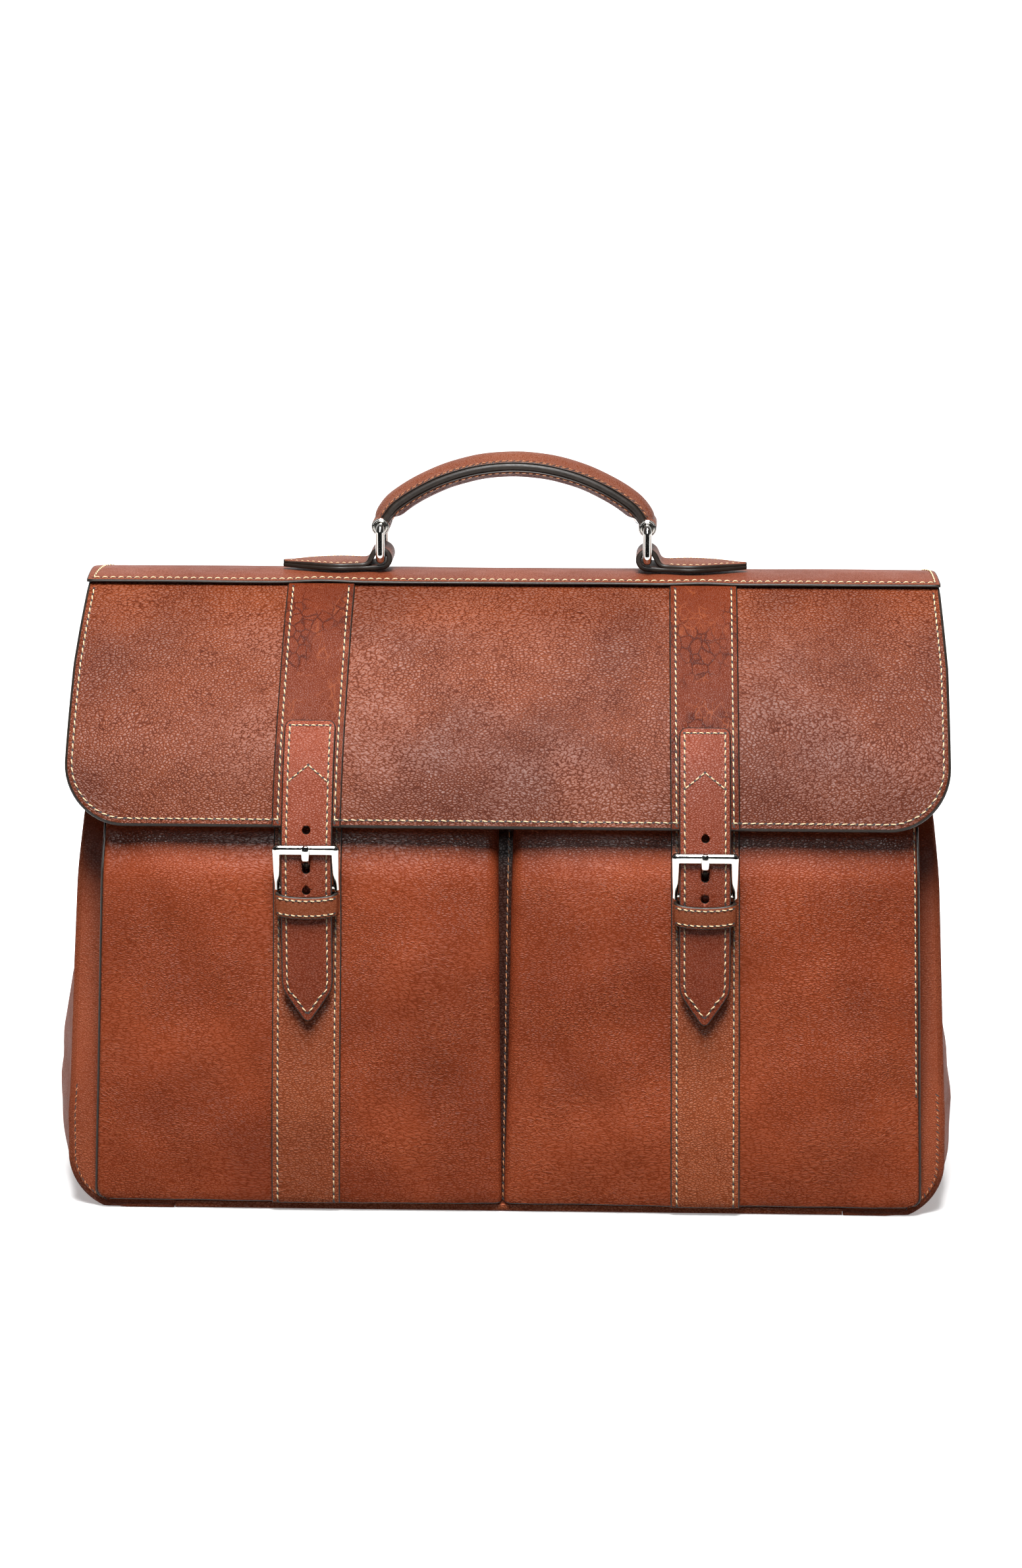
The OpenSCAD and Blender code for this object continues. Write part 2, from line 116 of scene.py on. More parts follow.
class Line:
    """A side profile in the YZ plane, measured along its length from its upper end.

    Its outward side is on its right for side 1.
    """

    def __init__(self, points, side=1, curved=True):
        self.p = smooth(points) if curved else np.array(points, float)
        self.s = run_of(self.p)
        self.length = self.s[-1]
        self.side = side

    def raw(self, s):
        s = np.asarray(s, float)
        q = values_at(np.clip(s, 0, self.length), self.s, self.p)
        first, last = unit(self.p[1] - self.p[0]), unit(self.p[-1] - self.p[-2])
        q = q + np.where(s < 0, s, 0)[..., None] * first
        return q + np.where(s > self.length, s - self.length, 0)[..., None] * last

    def normal(self, s):
        t = unit(self.raw(np.asarray(s, float) + 1.2) - self.raw(np.asarray(s, float) - 1.2))
        return self.side * np.stack([t[..., 1], -t[..., 0]], -1)

    def at(self, s, out=0.0):
        return self.raw(s) + self.normal(s) * np.asarray(out, float)[..., None]

    def s_at(self, z):
        """Distance along a falling line at a height."""
        return np.interp(-np.asarray(z, float), -self.p[:, 1], self.s)

    def y_at(self, z):
        return self.raw(self.s_at(z))[..., 0]

    def shifted(self, out):
        s = np.linspace(0, self.length, 60)
        return Line(self.at(s, np.full(60, float(out))), self.side, curved=False)


def place(line, x, s, out=0.0):
    """Points on a surface pulled along X from a side profile."""
    x, s, out = np.broadcast_arrays(np.asarray(x, float), s, out)
    q = line.at(s, out)
    return np.stack([x, q[..., 0], q[..., 1]], -1)


def level(xs, ys, z):
    """Points of a sheet seen from above, at heights for its rows."""
    return np.stack(np.broadcast_arrays(xs, ys[:, None], z), -1)


def ease(t):
    t = np.clip(t, 0, 1)
    return t * t * (3 - 2 * t)


def ripple(a, b, size, seed):
    """A slow, soft unevenness, from -1 to 1."""
    k = 2 * math.pi / size
    return (
        np.sin(a * k * 0.83 + b * k * 0.41 + seed * 1.7)
        + np.sin(a * k * 0.37 - b * k * 0.95 + seed * 2.9 + 1.1)
        + np.sin(a * k * 1.31 + b * k * 0.72 + seed * 0.6 + 2.3) * 0.6
    ) / 2.6


def spread(a, b, step):
    return np.linspace(a, b, max(2, int(round(abs(b - a) / step)) + 1))


# Meshes ---------------------------------------------------------------------------------


def mesh(name, verts, faces, mats, index=None):
    data = bpy.data.meshes.new(name)
    data.from_pydata((np.asarray(verts, float) * MM).tolist(), [], [list(map(int, f)) for f in faces])
    for m in mats:
        data.materials.append(m)
    if index is not None:
        data.polygons.foreach_set("material_index", np.asarray(index, np.int32))
    data.polygons.foreach_set("use_smooth", np.ones(len(data.polygons), bool))
    data.update()
    obj = bpy.data.objects.new(name, data)
    bpy.context.scene.collection.objects.link(obj)
    return obj


def grid_normals(g, wrap=False):
    if wrap:
        du = np.roll(g, -1, 1) - np.roll(g, 1, 1)
    else:
        du = np.gradient(g, axis=1)
    dv = np.gradient(g, axis=0)
    return unit(np.cross(du, dv))


def slab(name, grid, thick, mats, toward=(0, -1, 0), lip=0.6, bulge=0.25, wrap=False):
    """A piece of leather: a grid of points on its face, its thickness and a rounded painted edge.

    The face looks along `toward`. mats are the face, the edge and the back.
    """
    rows, cols = grid.shape[:2]
    n = grid_normals(grid, wrap)
    flip = (n * np.asarray(toward, float)).sum(-1).mean() < 0
    n = -n if flip else n
    thick = np.broadcast_to(np.asarray(thick, float), (rows, cols))
    front = grid.reshape(-1, 3)
    back = (grid - n * thick[..., None]).reshape(-1, 3)
    verts = [front, back]
    faces, index = [], []
    ids = np.arange(rows * cols).reshape(rows, cols)
    right = np.roll(ids, -1, 1) if wrap else ids[:, 1:]
    left = ids if wrap else ids[:, :-1]
    a, b, c, d = left[:-1], right[:-1], right[1:], left[1:]
    quads = np.stack([a, b, c, d], -1).reshape(-1, 4)
    faces += (quads[:, ::-1] if flip else quads).tolist()
    index += [0] * len(quads)
    under = quads + rows * cols
    faces += (under if flip else under[:, ::-1]).tolist()
    index += [2] * len(quads)
    if wrap:
        loops = [ids[0], ids[-1]]
        inward = [ids[1], ids[-2]]
    else:
        loops = [np.concatenate([ids[0, :-1], ids[:-1, -1], ids[-1, :0:-1], ids[:0:-1, 0]])]
        inner = np.pad(ids[1:-1, 1:-1], 1, mode="edge") if rows > 2 and cols > 2 else ids
        inward = [np.concatenate([inner[0, :-1], inner[:-1, -1], inner[-1, :0:-1], inner[:0:-1, 0]])]
    flat_n = n.reshape(-1, 3)
    flat_t = thick.reshape(-1)
    count = 2 * rows * cols
    for loop, near in zip(loops, inward):
        p = front[loop]
        along = unit(unit(np.roll(p, -1, 0) - p) + unit(p - np.roll(p, 1, 0)))
        e = unit(np.cross(along, flat_n[loop]))
        if ((p - front[near]) * e).sum() < 0:
            e = -e
        t = flat_t[loop][:, None]
        nn = flat_n[loop]
        face_edge = p + e * lip - nn * np.minimum(0.3 * lip, 0.2 * t)
        rings = [
            face_edge,
            face_edge + e * bulge - nn * 0.3 * t,
            face_edge + e * bulge - nn * 0.7 * t,
            face_edge - nn * t,
        ]
        m = len(loop)
        chain = [loop] + [count + k * m + np.arange(m) for k in range(4)] + [loop + rows * cols]
        verts += rings
        count += 4 * m
        sample = np.cross(along[0], e[0]) @ nn[0]
        for k in range(5):
            q = np.stack([chain[k], np.roll(chain[k], -1), np.roll(chain[k + 1], -1), chain[k + 1]], -1)
            faces += (q if sample > 0 else q[:, ::-1]).tolist()
            index += [1] * m
    return mesh(name, np.concatenate(verts), faces, mats, index)


def tube(name, rings, mats, caps=True):
    """A closed skin through rings of points, with flat ends in the last material."""
    rings = np.asarray(rings, float)
    rows, cols = rings.shape[:2]
    ids = np.arange(rows * cols).reshape(rows, cols)
    nxt = np.roll(ids, -1, 1)
    quads = np.stack([ids[:-1], nxt[:-1], nxt[1:], ids[1:]], -1).reshape(-1, 4)
    centre = rings[0].mean(0)
    side = np.cross(rings[0][1] - rings[0][0], rings[1][0] - rings[0][0]) @ (rings[0][0] - centre)
    faces = (quads if side > 0 else quads[:, ::-1]).tolist()
    if caps:
        first, last = ids[0].tolist(), ids[-1].tolist()
        faces += [first[::-1], last] if side > 0 else [first, last[::-1]]
    obj = mesh(name, rings.reshape(-1, 3), faces, mats)
    if caps:
        for k in (-1, -2):
            obj.data.polygons[k].use_smooth = False
            obj.data.polygons[k].material_index = len(mats) - 1
    return obj


def sweep(path, section, up=(0, 1, 0)):
    """Rings of a section [across, out] carried along a path; `up` is the across direction."""
    path, section = np.asarray(path, float), np.asarray(section, float)
    t = unit(np.gradient(path, axis=0))
    across = np.broadcast_to(np.array(up, float), path.shape)
    out = unit(np.cross(t, across))
    across = unit(np.cross(out, t))
    return path[:, None] + across[:, None] * section[..., :1] + out[:, None] * section[..., 1:]


# Stitches -------------------------------------------------------------------------------

threads = {}
holes = {}
QUIET = ("grip", "corner")  # groups sewn with thread that hardly shows


def seam(group, points, normals, pitch=3.8, length=2.75, tilt=14, radius=0.34, lift=0.32):
    """Adds a row of slanted stitches along a line on a surface to a group's pieces."""
    p, n = np.broadcast_arrays(np.asarray(points, float), unit(normals))
    run = run_of(p)
    count = max(1, int(round(run[-1] / pitch)))
    pitch = run[-1] / count
    length = length * min(1.1, pitch / 3.8)

    def stations(at, reach):
        """Place and outward, forward and sideways directions at distances along the line."""
        out = unit(values_at(at, run, n))
        ahead = unit(values_at(at + reach, run, p) - values_at(at - reach, run, p))
        return values_at(at, run, p), out, ahead, unit(np.cross(out, ahead))

    # Threads: a loop of six rings of six points each, turned by the tilt and a little unevenness
    number = np.arange(count)
    centre, out, t, side = stations((number + 0.5) * pitch, 0.8)
    t = unit(np.cross(side, out))
    wobble = np.sin(number * 2.4) * 2.0 + np.sin(number * 5.1) * 1.6
    turn = np.radians(tilt + wobble)[:, None]
    a = t * np.cos(turn) + side * np.sin(turn)
    b = unit(np.cross(out, a))
    along = np.array([-1, -0.78, -0.35, 0.35, 0.78, 1]) * length / 2
    high = np.array([-0.35, 0.12, 1, 1, 0.12, -0.35]) * lift
    thick = np.array([0.3, 0.82, 1, 1, 0.82, 0.3])[:, None] * radius
    ring = once_round(6)
    threads.setdefault(group, []).append(
        centre[:, None, None]
        + a[:, None, None] * along[:, None, None]
        + out[:, None, None] * (high[:, None] + np.sin(ring) * 0.8 * thick)[..., None]
        + b[:, None, None] * (np.cos(ring) * thick)[..., None]
    )

    # Needle holes between them, dark discs of painted shade for the holes' depth: an oval of eight points
    # round a middle point
    q, n_q, t_q, s_q = stations(np.arange(count + 1) * pitch, 0.5)
    turn = math.radians(tilt + 24)
    ca, cb = t_q * math.cos(turn) + s_q * math.sin(turn), s_q * math.cos(turn) - t_q * math.sin(turn)
    shape = oval(8, max(0.7, (pitch - length) / 2 + 0.34), 1.35 * radius)
    edge = q[:, None] + ca[:, None] * shape[:, :1] + cb[:, None] * shape[:, 1:] + n_q[:, None] * 0.02
    holes.setdefault(group, []).append(np.concatenate([edge, (q + n_q * 0.1)[:, None]], 1))


def seam_on(group, surface, u, v, **kw):
    """A seam along (u, v) positions of a surface function that also takes a height above it."""
    p, q = surface(u, v, 0.0), surface(u, v, 1.0)
    seam(group, p, q - p, **kw)


def thread_pieces(group):
    """One mesh of threads and one of needle holes for a group."""
    body = np.concatenate(threads[group])
    ids = np.arange(len(body) * 36).reshape(-1, 6, 6)
    nxt = np.roll(ids, -1, 2)
    quads = np.stack([ids[:, :-1], ids[:, 1:], nxt[:, 1:], nxt[:, :-1]], -1).reshape(-1, 4)
    look = quiet_thread if group in QUIET else thread
    disc = np.concatenate(holes[group])
    ids = np.arange(len(disc) * 9).reshape(-1, 9)
    rim, middle = ids[:, :8], np.broadcast_to(ids[:, 8:], (len(disc), 8))
    tris = np.stack([rim, np.roll(rim, -1, 1), middle], -1).reshape(-1, 3)
    return [
        mesh("stitches_" + group, body.reshape(-1, 3), quads, [look]),
        mesh("needle_holes_" + group, disc.reshape(-1, 3), tris, [needle_hole]),
    ]


# Materials ------------------------------------------------------------------------------


def srgb(r, g, b):
    """Linear colour of a colour written as 0 to 255."""
    steps = [c / 255 for c in (r, g, b)]
    return tuple(c / 12.92 if c <= 10 / 255 else ((c + 0.055) / 1.055) ** 2.4 for c in steps) + (1.0,)


class Shader:
    """Short names for building a node material."""

    def __init__(self, name):
        self.mat = bpy.data.materials.new(name)
        self.mat.use_nodes = True
        self.tree = self.mat.node_tree
        self.tree.nodes.clear()
        self.bsdf = self.node("ShaderNodeBsdfPrincipled")
        out = self.node("ShaderNodeOutputMaterial")
        self.tree.links.new(self.bsdf.outputs[0], out.inputs[0])
        where = self.node("ShaderNodeTexCoord")
        self.place = self.scaled(where.outputs["Object"], (1000, 1000, 1000))

    def node(self, kind, values=None, **props):
        n = self.tree.nodes.new(kind)
        for k, v in props.items():
            setattr(n, k, v)
        for k, v in (values or {}).items():
            self.put(n.inputs[k], v)
        return n

    def put(self, socket, value):
        if isinstance(value, bpy.types.NodeSocket):
            self.tree.links.new(value, socket)
        else:
            socket.default_value = value

    def set(self, **values):
        for k, v in values.items():
            self.put(self.bsdf.inputs[k.replace("_", " ")], v)

    def scaled(self, vector, scale, turn=(0, 0, 0)):
        values = {"Vector": vector, "Scale": scale, "Rotation": turn}
        return self.node("ShaderNodeMapping", values).outputs[0]

    def math(self, how, a, b):
        return self.node("ShaderNodeMath", {0: a, 1: b}, operation=how).outputs[0]

    def times(self, a, b):
        return self.math("MULTIPLY", a, b)

    def noise(self, vector, size, detail):
        values = {"Vector": vector, "Scale": 1 / size, "Detail": detail, "Roughness": 0.55}
        return self.node("ShaderNodeTexNoise", values).outputs["Fac"]

    def cells(self, vector, size):
        """Distance to the nearest border between cells."""
        values = {"Vector": vector, "Scale": 1 / size}
        return self.node("ShaderNodeTexVoronoi", values, feature="DISTANCE_TO_EDGE").outputs["Distance"]

    def warp(self, vector, size, amount):
        n = self.node("ShaderNodeTexNoise", {"Vector": vector, "Scale": 1 / size, "Detail": 2.0})
        values = {0: n.outputs["Color"], 1: (0.5, 0.5, 0.5)}
        off = self.node("ShaderNodeVectorMath", values, operation="SUBTRACT")
        far = self.node("ShaderNodeVectorMath", {0: off.outputs[0], "Scale": amount}, operation="SCALE")
        return self.node("ShaderNodeVectorMath", {0: vector, 1: far.outputs[0]}).outputs[0]

    def span(self, value, a, b, c=0.0, d=1.0):
        """The value's range from a to b carried smoothly to the range from c to d."""
        values = {"Value": value, "From Min": a, "From Max": b, "To Min": c, "To Max": d}
        return self.node("ShaderNodeMapRange", values, interpolation_type="SMOOTHSTEP").outputs[0]

    def mix(self, a, b, factor):
        values = {0: factor, 6: a, 7: b}
        return self.node("ShaderNodeMix", values, data_type="RGBA", clamp_factor=True).outputs[2]

    def bump(self, height, depth):
        values = {"Height": height, "Distance": depth * MM, "Strength": 1.0}
        return self.node("ShaderNodeBump", values).outputs[0]


def leather(
    name, tone, pale, crease, spec, grain=1.0, depth=0.10, rough=0.44, stretch=(0.8, 1, 1.15), tilt=0.45,
    top_sheen=0.3, crease_shade=0.5, hair=0.0, folds=0.0, ridge_sheen=0.0, coarse=0.0, mottled=0.3,
):
    """Grained leather: pebbles of about `grain` mm drawn out along a drifting direction.

    Their tops carry a painted sheen (`top_sheen`); between them lie painted shade (`crease_shade`) and pale
    painted highlights along ridges (`ridge_sheen`). They are larger in patches (`coarse`) and darker in wide
    ones (`mottled`), with hairlines (`hair`) and `folds` where the leather bends, the folds darkened with
    painted shade.
    """
    tone, pale, crease = srgb(*tone), srgb(*pale), srgb(*crease)
    s = Shader(name)
    p = s.place
    flow = s.warp(p, 70, 20)
    base = s.warp(s.scaled(flow, stretch, (0, tilt, 0)), 4.0, 1.1)
    big = s.cells(base, grain)
    if coarse:
        bigger = s.cells(base, grain * 1.7)
        share = s.span(s.noise(p, 60, 2.0), 0.46, 0.58, 0.0, coarse)
        big = s.math("ADD", s.times(big, s.math("SUBTRACT", 1.0, share)), s.times(bigger, share))
    each = s.noise(base, grain * 1.6, 1.0)
    patch = s.noise(p, 45, 3.0)
    cloud = s.noise(p, 13, 3.0)
    top = s.span(big, 0.03, 0.24)
    height = s.times(s.span(big, 0.0, 0.40), s.span(each, 0.3, 0.7, 0.8, 1.0))
    low = s.span(big, 0.14, 0.02)
    # Paler tops of the pebbles: a painted sheen, stronger on some pebbles than on others
    light = s.times(top, s.span(each, 0.30, 0.70, 0.55, 1.0))
    colour = s.mix(tone, pale, s.times(light, s.span(patch, 0.32, 0.64, 0.5 * top_sheen, top_sheen)))
    # Darker hollows between the pebbles: painted shade
    colour = s.mix(colour, crease, s.times(low, s.span(cloud, 0.3, 0.7, 0.6 * crease_shade, crease_shade)))
    colour = s.mix(colour, crease, s.span(s.noise(p, 75, 2.0), 0.62, 0.36, 0.0, mottled))
    if ridge_sheen:
        # Pale lines along a net of ridges: painted highlights, with the ridges also raised in the bump
        net = s.cells(s.warp(s.scaled(flow, (0.62, 1, 1.1), (0, 0.2, 0)), 5, 2.0), 2.1)
        line = s.times(s.span(net, 0.10, 0.0), s.span(s.noise(p, 24, 3.0), 0.42, 0.62, 0.15, 1.0))
        colour = s.mix(colour, pale, s.times(line, ridge_sheen))
        height = s.math("ADD", height, s.times(line, 0.7))
    if hair:
        for turn, scale in ((0.75, 5.0), (-0.55, 7.0)):
            long = s.cells(s.warp(s.scaled(p, (1.0, 1.0, 0.16), (0, turn, 0)), 9, 2.2), scale)
            crack = s.times(s.span(long, 0.045, 0.0), s.span(s.noise(p, 16, 2.0), 0.50, 0.62))
            colour = s.mix(colour, pale, s.times(crack, hair))
            height = s.math("SUBTRACT", height, s.times(crack, 0.35))
    if folds:
        long = s.cells(s.warp(s.scaled(p, (1.0, 1.0, 0.30), (0, 0.12, 0)), 8, 5), 4.5)
        fold = s.times(s.span(long, 0.12, 0.0), s.span(s.noise(p, 26, 2.0), 0.46, 0.60))
        # The folds are darkened with painted shade as well as sunk into the bump
        colour = s.mix(colour, crease, s.times(fold, folds))
        height = s.math("SUBTRACT", height, s.times(fold, folds * 1.2))
    s.set(Base_Color=colour, Normal=s.bump(height, depth))
    s.set(Specular_IOR_Level=s.times(spec, s.span(top, 0.0, 0.8, 0.15, 1.0)))
    s.set(Roughness=s.span(cloud, 0.3, 0.7, rough - 0.04, rough + 0.06))
    return s.mat


def plain(name, colour, second, rough, size=3.0, depth=0.05, metal=0.0, spec=0.5):
    """A material with a fine uneven surface and a second tone."""
    s = Shader(name)
    spots = s.noise(s.place, size, 4.0)
    grain_of = s.noise(s.place, size * 0.22, 3.0)
    s.set(
        Base_Color=s.mix(srgb(*colour), srgb(*second), s.span(spots, 0.35, 0.7, 0.0, 0.5)),
        Roughness=s.span(grain_of, 0.3, 0.7, rough * 0.85, rough * 1.15),
        Metallic=metal,
        Specular_IOR_Level=spec,
        Normal=s.bump(grain_of, depth),
    )
    return s.mat


flap_leather = leather(
    "flap_leather", (120, 56, 28), (148, 81, 48), (60, 20, 10), spec=0.20, grain=1.25, depth=0.14, rough=0.42,
    stretch=(0.72, 1, 1.25), tilt=0.55, top_sheen=0.28, crease_shade=0.8, coarse=0.4, mottled=0.4,
)
# The flap's bands: the band leather made darker, painted shade that offsets the stronger light on the sloping
# flap
flap_band_shaded_leather = leather(
    "flap_band_shaded_leather", (104, 42, 19), (142, 74, 43), (66, 23, 12), spec=0.13, grain=0.9, depth=0.07,
    hair=0.5, folds=0.9, stretch=(1.2, 1, 0.8), tilt=0.1, top_sheen=0.25, crease_shade=0.4,
)
band_leather = leather(
    "band_leather", (158, 80, 48), (196, 120, 81), (106, 46, 26), spec=0.16, grain=1.1, depth=0.14,
    stretch=(0.65, 1, 1.1), tilt=0.1, top_sheen=0.4, crease_shade=0.6,
)
keeper_leather = leather(
    "keeper_leather", (134, 70, 43), (160, 94, 62), (92, 42, 24), spec=0.16, depth=0.05, crease_shade=0.3,
)
strap_leather = leather(
    "strap_leather", (136, 62, 38), (166, 92, 62), (86, 33, 19), spec=0.18, top_sheen=0.35,
)
body_leather = leather(
    "body_leather", (149, 67, 37), (185, 103, 67), (80, 27, 13), spec=0.13, grain=1.1, depth=0.12, rough=0.41,
    stretch=(0.55, 1, 1.25), tilt=0.35, top_sheen=0.2, crease_shade=0.46, ridge_sheen=0.22, coarse=0.5, mottled=0.34,
)
side_leather = leather(
    "side_leather", (146, 72, 45), (174, 102, 70), (94, 40, 24), spec=0.10, rough=0.52,
    crease_shade=0.35, ridge_sheen=0.15,
)
# The spine: the side leather made darker, painted shade that offsets the stronger light on the case's top,
# with more shine
spine_shaded_leather = leather(
    "spine_shaded_leather", (122, 58, 34), (154, 88, 58), (82, 34, 19), spec=0.32, rough=0.42,
    stretch=(0.8, 1.3, 1), top_sheen=0.4,
)
handle_leather = leather(
    "handle_leather", (118, 62, 39), (156, 97, 68), (84, 37, 22), spec=0.38, grain=0.95, depth=0.12,
    rough=0.42, stretch=(1.3, 1, 0.7), tilt=0.3, top_sheen=0.4,
)
# A darker copy of the strap leather for the buckle tabs and the backs of straps and keepers: painted shade
# for faces tucked behind other parts
shaded_back_leather = leather(
    "shaded_back_leather", (104, 42, 28), (128, 62, 42), (64, 26, 17), spec=0.12, grain=1.3, depth=0.12, rough=0.46,
    crease_shade=0.8,
)
# A near-black copy of the panel leather for the strip deep in the pleat between the pockets: painted shade of
# the recess
pleat_shaded_leather = leather(
    "pleat_shaded_leather", (52, 25, 16), (72, 38, 24), (32, 14, 9), spec=0.1, grain=1.4, depth=0.08, rough=0.5,
    crease_shade=0.8,
)
edge_paint = plain("edge_paint", (34, 27, 22), (48, 40, 34), 0.38, size=7, depth=0.012, spec=0.22)
lining = plain("lining", (176, 140, 100), (150, 114, 78), 0.92, size=2.0, depth=0.12, spec=0.1)
board = plain("board", (66, 50, 40), (88, 68, 54), 0.8, size=2.0, depth=0.08)
thread = plain("thread", (228, 204, 166), (200, 166, 124), 0.62, size=0.8, depth=0.08, spec=0.2)
quiet_thread = plain("quiet_thread", (206, 146, 104), (170, 108, 70), 0.6, size=0.8, spec=0.2)
# Dark discs at the needle holes: painted shade
needle_hole = plain("needle_hole", (30, 17, 12), (20, 12, 9), 0.8, size=1.0, depth=0.02)
nickel = plain("nickel", (204, 202, 197), (188, 184, 178), 0.10, size=9, depth=0.006, metal=1.0)

# Side profiles, each from its upper end down ----------------------------------------------

front_line = Line([[11, 272], [-4, 230], [-21, 180], [-37, 110], [-46.5, 50], [-49.5, 2]])
back_line = Line([[59, 284.4], [67, 200], [71, 110], [71, 2]], side=-1)
pocket_line = Line([
    [-44.5, 194], [-46.2, 184], [-49.0, 175], [-52.8, 166.5], [-54.3, 156],
    [-55.0, 130], [-55.3, 100], [-55, 40], [-53.6, 12], [-52, 3.4],
])
flap_line = Line([
    [13.2, 288.6], [11.5, 287.9], [-8, 271.5], [-25, 251.5], [-40.5, 231], [-51.5, 211.5], [-59.5, 186.5],
])
spine_line = Line([
    [63.4, 271.5], [62.0, 280], [60.2, 285.4], [57, 288.5],
    [50, 289.9], [35, 291.2], [20, 291.0], [9.4, 289.6],
])

# Outlines as seen from the front, in heights and distances from the middle ------------------
PANEL_FOOT, PANEL_CORNER = 2.2, 23.0
FLAP_FOOT, FLAP_CORNER = 186.5, 28.0


def panel_edge(side, z, inset=0.0):
    """X of the front panel's edge, with its rounded lower corner."""
    if side < 0:
        x = np.interp(z, [0, 45, 62, 183, 272], [204.6, 204.6, 203.4, 199.8, 190.5])
    else:
        x = np.interp(z, [0, 45, 97, 183, 272], [201.8, 201.8, 199.8, 197.2, 189])
    return side * (x - rounded(PANEL_CORNER, PANEL_FOOT + PANEL_CORNER - z) - inset)


def flap_edge(side, z, inset=0.0):
    left, right = [204.3, 204.3, 203.3, 200.2], [203.1, 203.1, 202.6, 199.9]
    half = np.interp(z, [186, 213, 255, 287], left if side < 0 else right)
    return side * (half - inset - rounded(FLAP_CORNER - inset, FLAP_FOOT + FLAP_CORNER - z))


def rows_with_corner(top, bottom, radius, step):
    """Heights from top to bottom, close together round a lower corner."""
    arc_z = bottom + radius * (1 - np.cos(np.linspace(math.pi / 2, 0, 15)))
    return np.concatenate([spread(top, bottom + radius, step)[:-1], arc_z])


def between(left, right, cols):
    """Positions from a left to a right edge, closer together near both."""
    t = np.linspace(0, 1, cols)
    t = 0.5 - 0.5 * np.cos(math.pi * t) * (0.35 + 0.65 * np.abs(2 * t - 1))
    t = (t - t[0]) / (t[-1] - t[0])
    return left[:, None] + (right - left)[:, None] * t[None]


def across(edge, z, inset, cols):
    """Positions in rows between the left and the right edge that a function gives."""
    return between(edge(-1, z, inset), edge(1, z, inset), cols)


# Pieces -------------------------------------------------------------------------------------

HINGES = {
    "flap": dict(a="spine", b="flap", start=(0, 0.0102, 0.2870), end=(0, 0.0036, 0.2817)),
    "spine": dict(a="case", b="spine", start=(0, 0.0612, 0.2815), end=(0, 0.0560, 0.2905)),
}
for name, side in SIDES.items():
    x = side * 0.0915
    HINGES["closure_" + name] = dict(
        a="flap", b="closure_" + name, start=(x, -0.0553, 0.2095), end=(x, -0.0605, 0.2005)
    )


def add(obj, body, nodes=(), bends=False):
    """Hands a mesh to its body, or for a bending piece only bakes its transform into the mesh, and says which
    nodes it replaces.
    """
    if bends:
        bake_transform(obj)
    else:
        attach(obj, body)
    if nodes:
        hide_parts(*nodes)
    return obj


LIP = 0.4  # how far most leather edges reach past their grids

# The flap, its lining and its two bands
RIM = 1.0  # the flap's painted rim, wider than the other edges
FLAP_SEAM = 3.1  # the border seam's distance from the flap's edge


def flap_surface(x, s, out=0.0):
    wave = 0.35 * ripple(x, s, 120, 3) * ease(s / 30)
    return place(flap_line, x, s, wave + out)


z_rows = rows_with_corner(288.1, FLAP_FOOT + RIM, FLAP_CORNER - RIM, 3.0)
grid = flap_surface(across(flap_edge, z_rows, RIM, 130), flap_line.s_at(z_rows)[:, None])
flap = slab("flap", grid, 2.4, [flap_leather, edge_paint, lining], lip=RIM, bulge=0.3)
add(flap, "flap", ["flap_panel"], bends=True)
z_rows = rows_with_corner(279.5, 189, 26, 5)
grid = flap_surface(across(flap_edge, z_rows, 2.5, 60), flap_line.s_at(z_rows)[:, None], -2.5)
inside = slab("flap_inside", grid, 0.8, [lining, edge_paint, lining], lip=0.2, bulge=0.05)
add(inside, "flap", ["flap_lining"])


def band_centre(side, z):
    if side < 0:
        return -np.interp(z, [5, 140, 187, 286], [94.6, 92.4, 92.2, 89.9])
    return np.interp(z, [5, 140, 187, 286], [92.6, 91.6, 91.1, 89.4])


BAND_HALF = 15.7
seam_s = flap_line.s_at(FLAP_FOOT + FLAP_SEAM)
for name, side in SIDES.items():
    def band_surface(x, s, out=0.0, side=side):
        """x is counted from the band's middle."""
        z = flap_line.raw(s)[..., 1]
        return flap_surface(x + band_centre(side, z), s, 1.55 + out)

    z_rows = np.concatenate([spread(287.2, 188, 3.0), [FLAP_FOOT + LIP]])
    grid = band_surface(np.linspace(-BAND_HALF + LIP, BAND_HALF - LIP, 16), flap_line.s_at(z_rows)[:, None])
    mats = [flap_band_shaded_leather, edge_paint, lining]
    band = slab("flap_band_" + name + "_piece", grid, 1.35, mats, lip=LIP, bulge=0.2)
    add(band, "flap", ["flap_band_" + name], bends=True)
    s = np.linspace(flap_line.s_at(286), flap_line.s_at(188.2), 80)
    for edge in (-1, 1):
        seam_on("flap", band_surface, edge * (BAND_HALF - 2.6), s, tilt=-edge * 4 + 8)
    # The border seam runs over the band up to the strap
    for a, b in ((-BAND_HALF + 0.4, -12.6), (12.6, BAND_HALF - 0.4)):
        seam_on("flap", band_surface, np.linspace(a, b, 6), seam_s, pitch=2.9, tilt=-8)

# The flap's border seam, broken by the bands
border_z = rows_with_corner(285.5, FLAP_FOOT + FLAP_SEAM, FLAP_CORNER - FLAP_SEAM, 2.5)
for side in (-1, 1):
    x = flap_edge(side, border_z, FLAP_SEAM)
    seam_on("flap", flap_surface, x, flap_line.s_at(border_z), tilt=-side * 9)
    x = np.linspace(side * 175.6, band_centre(side, 187.0) + side * (BAND_HALF + 0.5), 40)
    seam_on("flap", flap_surface, x, seam_s, tilt=side * 8)
x = np.linspace(band_centre(-1, 187.0) + BAND_HALF + 0.5, band_centre(1, 187.0) - BAND_HALF - 0.5, 60)
seam_on("flap", flap_surface, x, seam_s, tilt=-8)

# Straps ----------------------------------------------------------------------------------

